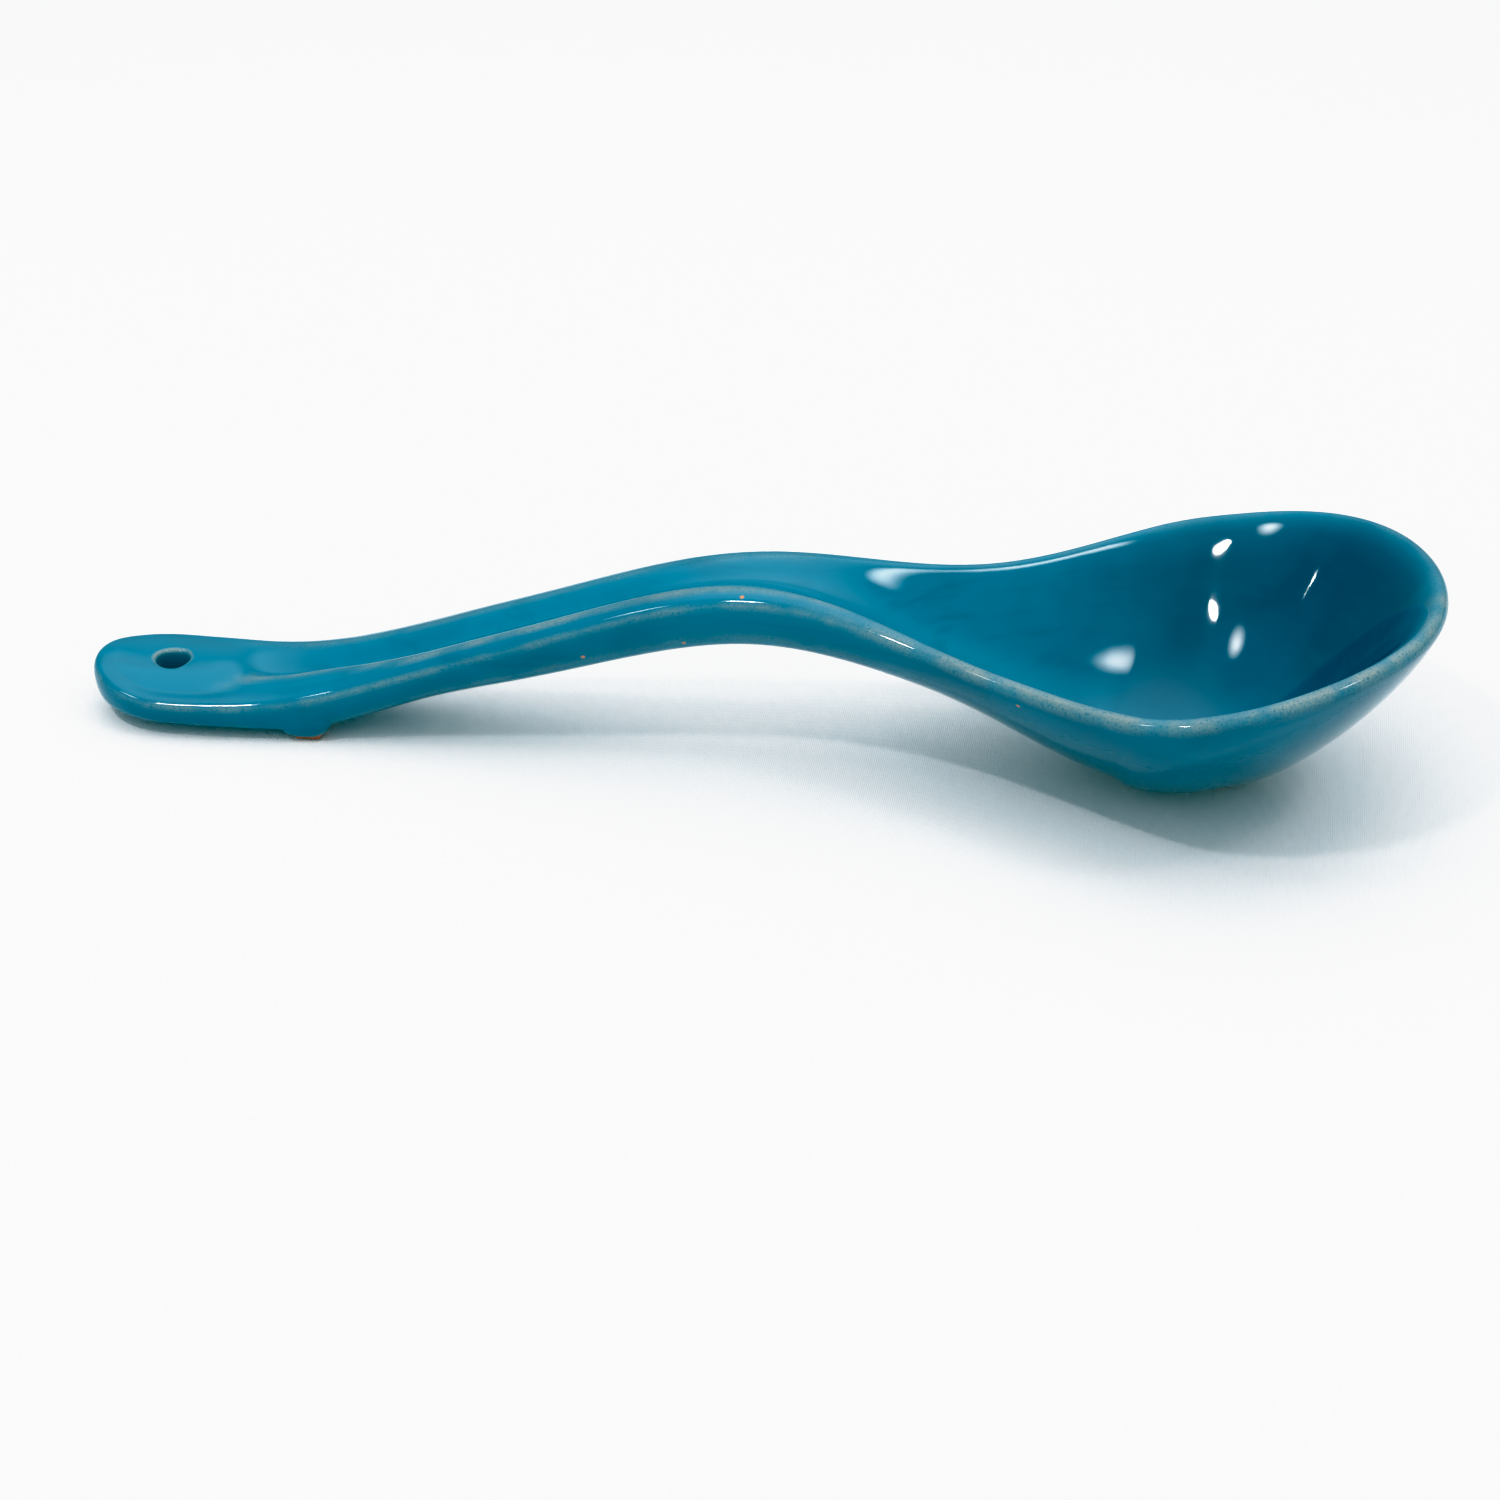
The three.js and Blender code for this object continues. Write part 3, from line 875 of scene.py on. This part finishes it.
    def _round_in(self, loop: list[BMEdge], opening: Opening, steps: list[tuple[float, float, float]]) -> list[BMEdge]:
        """Grows a loop through an opening.

        Args:
            loop: Open edges round the opening.
            opening: The opening, whose centre the radius is measured from.
            steps: Radius, height above the loop's own points, and thinness of the glaze.

        Returns:
            The last loop.
        """
        heights = {vert[self.tag]: vert.co.z for edge in loop for vert in edge.verts}
        centre = Vector((opening.x * MM, 0))
        for radius, rise, thin in steps:
            verts, loop = self._extrude(loop)
            for vert in verts:
                plan = centre + (vert.co.xy - centre).normalized() * radius * MM
                vert.co = Vector((plan.x, plan.y, heights[vert[self.tag]] + rise * MM))
                vert[self.thin] = thin
        return loop

    def _line_hole(self) -> None:
        """Rounds both lips of the hanging hole and joins them by its wall."""
        form = self.form
        radius = form.hole_diameter / 2
        walls = []
        for side in Side:
            steps = []
            for i in range(1, self.mesh.lip_steps + 1):
                turn = i / self.mesh.lip_steps * QUARTER
                out = form.hole_lip * (1 - math.sin(turn))
                drop = form.hole_lip * (1 - math.cos(turn))
                steps.append((radius + out, -side.value * drop, self.HOLE_THIN[i - 1]))
            walls += self._round_in(self._boundary(form.hole, side), form.hole, steps)
        bmesh.ops.bridge_loops(self.cage, edges=walls)

    def _bare_bar(self) -> None:
        """Opens the coat along the foot bar's bottom, where the clay stays bare."""
        form, mesh = self.form, self.mesh

        def is_bare(face: BMFace) -> bool:
            """Whether a face lies on the bar's bottom."""
            along = abs(face.calc_center_median().x / MM - form.bar_x) < mesh.bar_open
            return along and all(map(is_bottom, face.verts))

        def is_bottom(vert: BMVert) -> bool:
            """Whether a vertex lies far enough in on the underside."""
            return vert[self.side] == Side.UNDER.value and vert[self.ring] >= mesh.bar_open_ring

        bare = [face for face in self.cage.faces if is_bare(face)]
        bmesh.ops.delete(self.cage, geom=bare, context="FACES")
        for vert in self.cage.verts:
            if vert.is_boundary and abs(vert.co.x / MM - form.bar_x) < mesh.bar_open:
                vert[self.thin] = self.BARE_EDGE_THIN

    def _mark_foot(self) -> None:
        """Marks the glaze's edge round the bowl's bare foot as thin."""
        for edge in self._boundary(self.form.foot, Side.UNDER):
            for vert in edge.verts:
                vert[self.thin] = self.BARE_EDGE_THIN

    def dress(self, coat: bpy.types.Object) -> None:
        """Gives the coat its glaze and puts it in place of its CAD node.

        Args:
            coat: The coat.
        """
        coat.data.materials.append(self.finish.material())
        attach(coat, BODY)
        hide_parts("glaze_coat")


def new_object(name: str, bm: BMesh) -> bpy.types.Object:
    """Turns a mesh into a smooth object in the scene.

    Args:
        name: The object's name.
        bm: The mesh, which is freed.

    Returns:
        The object, at the origin.
    """
    data = bpy.data.meshes.new(name)
    bm.to_mesh(data)
    bm.free()
    data.polygons.foreach_set("use_smooth", [True] * len(data.polygons))
    made = bpy.data.objects.new(name, data)
    bpy.context.scene.collection.objects.link(made)
    return made


class NodeSheet:
    """Short ways to add nodes to one tree and to link them."""

    def __init__(self, tree: bpy.types.NodeTree) -> None:
        """Keeps the node tree of a material, a group, a light or the world."""
        self.tree = tree

    def add(self, kind: str, **settings: Any) -> bpy.types.Node:
        """Adds a node.

        Args:
            kind: The node's type, without its common beginning.
            settings: Properties of the node.

        Returns:
            The node.
        """
        node = self.tree.nodes.new("ShaderNode" + kind)
        for name, value in settings.items():
            setattr(node, name, value)
        return node

    def put(self, target: Socket, value: "Socket | float | Color | Point") -> None:
        """Links a socket to another one, or sets its own value.

        Args:
            target: Input socket.
            value: Socket to link, or the value to set.
        """
        if isinstance(value, bpy.types.NodeSocket):
            self.tree.links.new(value, target)
        else:
            target.default_value = value

    def fill(self, node: bpy.types.Node, entries: dict[str, Any]) -> None:
        """Links or sets inputs of a node by their names."""
        for name, value in entries.items():
            self.put(node.inputs[name], value)

    def math(self, operation: str, a: "Socket | float", b: "Socket | float", clamp: bool = True) -> Socket:
        """Adds a sum, product or the like of two values.

        Args:
            operation: The node's operation.
            a: First value.
            b: Second value.
            clamp: Whether the result is kept between 0 and 1.

        Returns:
            The result's socket.
        """
        node = self.add("Math", operation=operation, use_clamp=clamp)
        self.put(node.inputs[0], a)
        self.put(node.inputs[1], b)
        return node.outputs["Value"]

    def fold(self, operation: str, values: Iterable[Socket], clamp: bool = True) -> Socket:
        """Joins any number of values by one operation."""
        return reduce(lambda first, second: self.math(operation, first, second, clamp), values)

    def measure(self, operation: str, place: Socket, fixed: "Point | Vector" = (0.0, 0.0, 0.0)) -> Socket:
        """Measures a place or direction, alone or against a fixed one.

        Args:
            operation: The vector node's operation, which gives a number.
            place: The place or direction.
            fixed: The fixed place or direction.

        Returns:
            The measure's socket.
        """
        node = self.add("VectorMath", operation=operation)
        self.put(node.inputs[0], place)
        self.put(node.inputs[1], fixed)
        return node.outputs["Value"]

    def stretch(self, value: Socket, start: float, stop: float, low: float, high: float) -> Socket:
        """Carries a range of a value smoothly over to another range.

        Args:
            value: The value.
            start: Where the range starts.
            stop: Where it stops.
            low: Result up to the start.
            high: Result from the stop on.

        Returns:
            The result's socket.
        """
        node = self.add("MapRange", interpolation_type="SMOOTHSTEP")
        self.fill(node, {"Value": value, "From Min": start, "From Max": stop, "To Min": low, "To Max": high})
        return node.outputs["Result"]

    def blend(self, factor: Socket, first: "Socket | Color", second: "Socket | Color") -> Socket:
        """Blends two colours by a varying factor.

        Args:
            factor: 0 for the first colour and 1 for the second.
            first: First colour.
            second: Second colour.

        Returns:
            The blend's socket.
        """
        node = self.add("Mix", data_type="RGBA")
        self.fill(node, {"Factor": factor, "A": first, "B": second})
        return node.outputs["Result"]

    def noise(self, place: Socket, scale: "Socket | float", detail: float = 2.0) -> Socket:
        """Adds a noise.

        Args:
            place: Place on the piece.
            scale: Periods per metre.
            detail: Number of finer layers.

        Returns:
            The noise's socket.
        """
        node = self.add("TexNoise")
        self.fill(node, {"Vector": place, "Scale": scale, "Detail": detail})
        return node.outputs["Fac"]

    def squeezed(self, place: Socket, scale: Point) -> Socket:
        """Stretches or squeezes a place along the three axes.

        Args:
            place: Place on the piece.
            scale: Factor along each axis.

        Returns:
            The new place.
        """
        node = self.add("Mapping")
        self.fill(node, {"Vector": place, "Scale": scale})
        return node.outputs["Vector"]

    def bump(self, height: Socket, depth: float) -> Socket:
        """Turns a varying height into a normal.

        Args:
            height: Height from 0 to 1.
            depth: What a height of 1 stands for, in metres.

        Returns:
            The normal's socket.
        """
        node = self.add("Bump")
        self.fill(node, {"Strength": 1.0, "Distance": depth, "Height": height})
        return node.outputs["Normal"]


class KilnTexture:
    """Shared node group: the slow clouds and the fine grain that a firing leaves."""

    NAME = "kiln_texture"
    INPUTS = (("Place", "NodeSocketVector"), ("Cloud Scale", "NodeSocketFloat"), ("Grain Scale", "NodeSocketFloat"))
    OUTPUTS = ("Cloud", "Grain")
    DETAILS = (3.0, 2.0)
    MIDDLE_RANGE = (0.3, 0.7)

    @classmethod
    def tree(cls) -> bpy.types.NodeTree:
        """Builds the group on first use.

        Returns:
            The group's node tree.
        """
        known = bpy.data.node_groups.get(cls.NAME)
        if known:
            return known
        made = bpy.data.node_groups.new(cls.NAME, "ShaderNodeTree")
        for name, kind in cls.INPUTS:
            made.interface.new_socket(name, in_out="INPUT", socket_type=kind)
        for name in cls.OUTPUTS:
            made.interface.new_socket(name, in_out="OUTPUT", socket_type="NodeSocketFloat")
        sheet = NodeSheet(made)
        start = made.nodes.new("NodeGroupInput")
        stop = made.nodes.new("NodeGroupOutput")
        for name, detail in zip(cls.OUTPUTS, cls.DETAILS):
            value = sheet.noise(start.outputs["Place"], start.outputs[name + " Scale"], detail)
            sheet.put(stop.inputs[name], sheet.stretch(value, *cls.MIDDLE_RANGE, 0.0, 1.0))
        return made

    @classmethod
    def place(cls, sheet: NodeSheet, where: Socket, cloud: float, grain: float) -> tuple[Socket, Socket]:
        """Places the group in a material.

        Args:
            sheet: The material's nodes.
            where: Place on the piece.
            cloud: Clouds per metre.
            grain: Grains per metre.

        Returns:
            Sockets of the clouds and the grain, both from 0 to 1.
        """
        node = sheet.add("Group", node_tree=cls.tree())
        sheet.fill(node, {"Place": where, "Cloud Scale": cloud, "Grain Scale": grain})
        return node.outputs["Cloud"], node.outputs["Grain"]


def new_material(name: str, mirror: float) -> tuple[bpy.types.Material, NodeSheet, bpy.types.Node, Socket]:
    """Makes a material that is ready for its nodes.

    Args:
        name: The material's name.
        mirror: Level of its mirror reflections.

    Returns:
        The material, its nodes, its shader and the place on the piece.
    """
    made = bpy.data.materials.new(name)
    made.use_nodes = True
    sheet = NodeSheet(made.node_tree)
    shader = made.node_tree.nodes["Principled BSDF"]
    shader.inputs["Specular IOR Level"].default_value = mirror
    return made, sheet, shader, sheet.add("TexCoord").outputs["Object"]


@dataclass(frozen=True)
class GlazeFinish:
    """Glossy teal glaze that turns brown-grey where it runs thin, with streaks, a few pinholes and painted shade that
    darkens it on the bowl's walls and sides.
    """

    name: str = "teal_glaze"
    # The pale colour is the glaze where no shade is painted; the next colour is the darker glaze that painted shade,
    # and partly the random clouds, blend towards.
    pale: Color = (0.0, 0.141, 0.229, 1)
    deep_and_shaded: Color = (0.0, 0.047, 0.099, 1)
    streak: Color = (0.0, 0.068, 0.127, 1)
    thin: Color = (0.245, 0.262, 0.240, 1)
    pit: Color = (0.045, 0.050, 0.042, 1)
    clay: Color = (0.420, 0.190, 0.105, 1)
    ior: float = 1.5
    mirror: float = 0.36
    gloss: tuple[float, float] = (0.03, 0.06)
    thin_roughness: float = 0.07
    clouds_per_metre: float = 45
    grains_per_metre: float = 2300
    streak_scale: Point = (18, 120, 520)
    streak_detail: float = 3
    streak_range: tuple[float, float] = (0.5, 0.75)
    streak_strength: float = 0.3
    cloud_depth: float = 0.12
    wave_depth: float = 0.00003
    pinholes: tuple[Point, ...] = (
        (-0.02395, 0.00556, 0.02813),
        (0.00026, -0.00912, 0.0338),
        (-0.02773, -0.00959, 0.0203),
        (-0.01003, -0.00848, 0.02381),
        (0.04938, -0.02554, 0.02515),
    )
    pinhole_radius: float = 0.00048
    pinhole_core: float = 0.6
    patches_per_metre: float = 130
    patch_range: tuple[float, float] = (0.35, 0.6)
    patch_wear: tuple[float, float] = (0.45, 1.0)
    grain_wear: tuple[float, float] = (0.7, 1.0)
    pit_grain: float = 0.12
    pit_strength: float = 0.5
    pit_relief: float = 0.3

    def material(self) -> bpy.types.Material:
        """Builds the material.

        Returns:
            The material.
        """
        made, sheet, shader, place = new_material(self.name, self.mirror)
        shader.inputs["IOR"].default_value = self.ior
        cloud, grain = KilnTexture.place(sheet, place, self.clouds_per_metre, self.grains_per_metre)
        lines = sheet.noise(sheet.squeezed(place, self.streak_scale), 1.0, self.streak_detail)
        streak = sheet.stretch(lines, *self.streak_range, 0.0, self.streak_strength)
        # Painted shade from the coat's attribute, plus random clouds of tone, blends the pale colour towards the
        # darker one.
        painted_shading = sheet.add("Attribute", attribute_name=PAINTED_SHADE).outputs["Fac"]
        depth = sheet.math("ADD", painted_shading, sheet.stretch(cloud, 0.0, 1.0, -self.cloud_depth, self.cloud_depth))
        body = sheet.blend(streak, sheet.blend(depth, self.pale, self.deep_and_shaded), self.streak)
        thin = self._thinness(sheet, place, grain)
        pits = sheet.stretch(grain, self.pit_grain, 0.0, 0.0, self.pit_strength)
        color = sheet.blend(thin, body, sheet.blend(pits, self.thin, self.pit))
        color = sheet.blend(self._pinhole_mask(sheet, place), color, self.clay)
        gloss = sheet.stretch(cloud, 0.0, 1.0, *self.gloss)
        rough = sheet.math("ADD", gloss, sheet.math("MULTIPLY", thin, self.thin_roughness))
        pitting = sheet.math("MULTIPLY", pits, sheet.math("MULTIPLY", thin, self.pit_relief))
        normal = sheet.bump(sheet.math("SUBTRACT", cloud, pitting), self.wave_depth)
        sheet.fill(shader, {"Base Color": color, "Roughness": rough, "Normal": normal})
        return made

    def _thinness(self, sheet: NodeSheet, place: Socket, grain: Socket) -> Socket:
        """Breaks the thin glaze up into patches and grains.

        Args:
            sheet: The material's nodes.
            place: Place on the piece.
            grain: Fine grain from 0 to 1.

        Returns:
            Socket of how thin the glaze is.
        """
        worn = sheet.add("Attribute", attribute_name=THIN_GLAZE).outputs["Fac"]
        patch = sheet.stretch(sheet.noise(place, self.patches_per_metre), *self.patch_range, *self.patch_wear)
        grainy = sheet.stretch(grain, 0.0, 1.0, *self.grain_wear)
        return sheet.math("MULTIPLY", worn, sheet.math("MULTIPLY", patch, grainy))

    def _pinhole_mask(self, sheet: NodeSheet, place: Socket) -> Socket:
        """Marks the pinholes that bare the clay.

        Args:
            sheet: The material's nodes.
            place: Place on the piece.

        Returns:
            Socket of the mask.
        """
        core = self.pinhole_radius * self.pinhole_core
        gaps = [sheet.measure("DISTANCE", place, spot) for spot in self.pinholes]
        return sheet.fold("MAXIMUM", [sheet.stretch(gap, core, self.pinhole_radius, 1.0, 0.0) for gap in gaps])


@dataclass(frozen=True)
class ClayFinish:
    """Bare fired red clay, matt and grainy."""

    name: str = "red_clay"
    dark: Color = (0.36, 0.115, 0.042, 1)
    light: Color = (0.52, 0.205, 0.085, 1)
    speck: Color = (0.16, 0.06, 0.03, 1)
    speck_grain: float = 0.2
    speck_strength: float = 0.8
    mirror: float = 0.3
    roughness: tuple[float, float] = (0.72, 0.95)
    clouds_per_metre: float = 160
    grains_per_metre: float = 2400
    grain_depth: float = 0.00006

    def material(self) -> bpy.types.Material:
        """Builds the material.

        Returns:
            The material.
        """
        made, sheet, shader, place = new_material(self.name, self.mirror)
        cloud, grain = KilnTexture.place(sheet, place, self.clouds_per_metre, self.grains_per_metre)
        body = sheet.blend(cloud, self.dark, self.light)
        specks = sheet.stretch(grain, self.speck_grain, 0.0, 0.0, self.speck_strength)
        sheet.fill(shader, {
            "Base Color": sheet.blend(specks, body, self.speck),
            "Roughness": sheet.stretch(grain, 0.0, 1.0, *self.roughness),
            "Normal": sheet.bump(grain, self.grain_depth),
        })
        return made


@dataclass
class HandleFoot:
    """Bare clay bar in the coat's opening under the handle, the spoon's second foot."""

    form: SpoonForm
    half_length_top: float = 2.85
    half_length_bottom: float = 2.1
    half_width: float = 10.2
    height: float = 1.5
    corner: float = 0.5
    corner_steps: int = 3
    NAME: ClassVar[str] = "handle_foot_clay"

    def build(self) -> bpy.types.Object:
        """Makes the bar from a box that narrows downwards, with rounded corners.

        Returns:
            The bar.
        """
        bm = bmesh.new()
        bmesh.ops.create_cube(bm, size=2)
        for vert in bm.verts:
            upper = vert.co.z > 0
            half = self.half_length_top if upper else self.half_length_bottom
            x = self.form.bar_x + vert.co.x * half
            vert.co = Vector((x, vert.co.y * self.half_width, self.height if upper else 0.0)) * MM
        bmesh.ops.bevel(bm, geom=bm.edges, offset=self.corner * MM, offset_type="OFFSET", affect="EDGES",
                        segments=self.corner_steps, profile=0.5, material=-1)
        bmesh.ops.recalc_face_normals(bm, faces=bm.faces)
        return new_object(self.NAME, bm)

    def dress(self, bar: bpy.types.Object, clay: bpy.types.Material) -> None:
        """Gives the bar its clay and puts it in place of its CAD node.

        Args:
            bar: The bar.
            clay: Its material.
        """
        bar.data.materials.append(clay)
        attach(bar, BODY)
        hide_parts("handle_foot")


@dataclass(frozen=True)
class ClothFinish:
    """White woven cloth of the table, with a painted falloff of light that dims it away from the spoon."""

    name: str = "white_cloth"
    thread: Color = (0.86, 0.87, 0.885, 1)
    gap: Color = (0.80, 0.81, 0.83, 1)
    # Painted falloff of light: the cloth blends to this dimmer colour between the two fade distances from the spoon,
    # in metres.
    far: Color = (0.76, 0.77, 0.78, 1)
    fade: tuple[float, float] = (0.2, 0.7)
    threads_per_metre: float = 2750
    thread_depth: float = 0.0001
    thread_bend: float = 1.5
    bend_scale: float = 0.3
    clouds_per_metre: float = 8
    mirror: float = 0.1
    roughness: tuple[float, float] = (0.85, 0.95)
    WAVE_PERIOD: ClassVar[float] = 2 * math.pi / 20

    def material(self) -> bpy.types.Material:
        """Builds the material.

        Returns:
            The material.
        """
        made, sheet, shader, place = new_material(self.name, self.mirror)
        threads = []
        for axis in ("X", "Y"):
            wave = sheet.add("TexWave", bands_direction=axis)
            sheet.fill(wave, {
                "Vector": place,
                "Scale": self.threads_per_metre * self.WAVE_PERIOD,
                "Distortion": self.thread_bend,
                "Detail Scale": self.bend_scale,
            })
            threads.append(wave.outputs["Fac"])
        weave = sheet.math("MAXIMUM", *threads)
        cloud, _ = KilnTexture.place(sheet, place, self.clouds_per_metre, self.threads_per_metre)
        # Painted falloff of light, growing with distance from the spoon.
        outside_light_pool = sheet.stretch(sheet.measure("LENGTH", place), *self.fade, 0.0, 1.0)
        cloth = sheet.blend(weave, self.gap, self.thread)
        sheet.fill(shader, {
            "Base Color": sheet.blend(outside_light_pool, cloth, self.far),
            "Roughness": sheet.stretch(cloud, 0.0, 1.0, *self.roughness),
            "Normal": sheet.bump(weave, self.thread_depth),
        })
        return made


@dataclass(frozen=True)
class SoftLight:
    """One studio light: its direction seen from the spoon, its size and its power."""

    name: str
    azimuth: float
    elevation: float
    width: float
    height: float
    power: float
    softness: float = 0.5
    distance: float = 2.0
    MIDDLE: ClassVar[float] = 0.5

    def hang(self) -> None:
        """Hangs the light so that it faces the spoon, fading towards its own edges."""
        data = bpy.data.lights.new(self.name, "AREA")
        data.shape = "ELLIPSE"
        data.size = self.width
        data.size_y = self.height
        data.energy = self.power
        data.use_nodes = True
        sheet = NodeSheet(data.node_tree)
        place = sheet.add("NewGeometry").outputs["Parametric"]
        from_middle = sheet.measure("DISTANCE", place, (self.MIDDLE, self.MIDDLE, 0.0))
        fade = sheet.stretch(from_middle, self.MIDDLE * (1 - self.softness), self.MIDDLE, 1.0, 0.0)
        sheet.fill(data.node_tree.nodes["Emission"], {"Strength": fade})
        way = direction(self.azimuth, self.elevation)
        aimed_object(data, way * self.distance, -way)


@dataclass(frozen=True)
class Glow:
    """Broad soft glow in the room: its direction seen from the spoon, its reach as a cosine and its strength."""

    azimuth: float
    elevation: float
    reach: float
    strength: float

    def shine(self, sheet: NodeSheet, place: Socket) -> Socket:
        """Adds the glow to the room's nodes and gives its strength in each direction into the room."""
        facing = sheet.measure("DOT_PRODUCT", place, direction(self.azimuth, self.elevation))
        return sheet.stretch(facing, self.reach, 1.0, 0.0, self.strength)


def direction(azimuth: float, elevation: float) -> Vector:
    """Direction from the spoon, by its turn from the viewer's side and its rise in degrees."""
    turn, rise = math.radians(azimuth), math.radians(elevation)
    return Vector((math.sin(turn) * math.cos(rise), -math.cos(turn) * math.cos(rise), math.sin(rise)))


def aimed_object(data: "bpy.types.Light | bpy.types.Camera", at: Vector, way: Vector) -> bpy.types.Object:
    """Puts a light or a camera into the scene under its own name.

    Args:
        data: The light or camera.
        at: Where it is.
        way: Where it looks.

    Returns:
        The object.
    """
    made = bpy.data.objects.new(data.name, data)
    made.location = at
    made.rotation_euler = way.to_track_quat("-Z", "Y").to_euler()
    bpy.context.scene.collection.objects.link(made)
    return made


@dataclass
class Studio:
    """Pale cloth, soft lights and the camera."""

    lens: float = 86.4
    sensor: float = 36
    camera_at: Point = (82.49, -556.57, 310.61)
    camera_aim: Point = (0.63, -2.22, 0)
    floor_half: float = 3
    room: Color = (0.985, 0.99, 1.0, 1)
    contrast: float = 0.8
    black: Point = (0.075, 0.0, 0.0)
    white: float = 1.25
    tone: tuple[tuple[float, float], ...] = ((0.4, 0.5), (0.6, 0.745), (0.8, 0.905))
    tone_end: float = 0.955
    glows: tuple[Glow, ...] = (
        Glow(175, 68, 0.72, 1.85),
        Glow(175, 60, 0.30, 0.35),
        Glow(0, 32, 0.1, 0.72),
        Glow(0, 90, -1.0, 0.68),
    )
    lights: tuple[SoftLight, ...] = (
        SoftLight("key", -36, 59, 0.24, 0.08, 13, softness=0.3),
        SoftLight("right_box", 77, 56, 0.62, 0.50, 18, softness=1.0),
        SoftLight("left_box", -73, 56, 0.50, 0.32, 11, softness=1.0),
        SoftLight("left_strip", -92, 36, 0.03, 0.03, 0.25),
    )
    COMBINED_CURVE: ClassVar[int] = 3

    def build(self) -> None:
        """Builds the whole studio."""
        self._film()
        self._floor()
        self._room()
        for light in self.lights:
            light.hang()
        self._camera()

    def _film(self) -> None:
        """Sets the contrast, the levels and the soft shoulder of the picture."""
        view = bpy.context.scene.view_settings
        view.view_transform = "Standard"
        view.gamma = self.contrast
        view.use_curve_mapping = True
        mapping = view.curve_mapping
        mapping.black_level = self.black
        mapping.white_level = (self.white, self.white, self.white)
        curve = mapping.curves[self.COMBINED_CURVE]
        curve.points[-1].location = (1.0, self.tone_end)
        for place, value in self.tone:
            curve.points.new(place, value)
        mapping.update()

    def _floor(self) -> None:
        """Lays the cloth."""
        bm = bmesh.new()
        bmesh.ops.create_grid(bm, x_segments=1, y_segments=1, size=self.floor_half)
        floor = new_object("floor", bm)
        floor.data.materials.append(ClothFinish().material())

    def _room(self) -> None:
        """Fills the room with broad soft glows."""
        world = bpy.data.worlds.new("room")
        bpy.context.scene.world = world
        world.use_nodes = True
        sheet = NodeSheet(world.node_tree)
        place = sheet.add("TexCoord").outputs["Generated"]
        parts = [glow.shine(sheet, place) for glow in self.glows]
        total = sheet.fold("ADD", parts, clamp=False)
        sheet.fill(world.node_tree.nodes["Background"], {"Color": self.room, "Strength": total})

    def _camera(self) -> None:
        """Sets the camera up at the photograph's viewpoint."""
        data = bpy.data.cameras.new("camera")
        data.lens = self.lens
        data.sensor_width = self.sensor
        at, aim = Vector(self.camera_at), Vector(self.camera_aim)
        bpy.context.scene.camera = aimed_object(data, at * MM, aim - at)


def main() -> None:
    """Builds and dresses the spoon, then the studio around it."""
    logging.basicConfig(level=logging.INFO, format="%(name)s: %(message)s")
    form = SpoonForm()
    coat = GlazeCoat(form, CoatMesh(), GlazeFinish())
    skin = coat.build()
    coat.dress(skin)
    clay = ClayFinish().material()
    foot = HandleFoot(form)
    bar = foot.build()
    foot.dress(bar, clay)
    bodies = [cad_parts[name] for name in ("bowl", "handle")]
    for body in bodies:
        body.data.materials.clear()
        body.data.materials.append(clay)
    for piece in (skin, bar, *bodies):
        LOG.info("%s: %d faces", piece.name, len(piece.data.polygons))
    Studio().build()


if __name__ == "__main__":
    main()
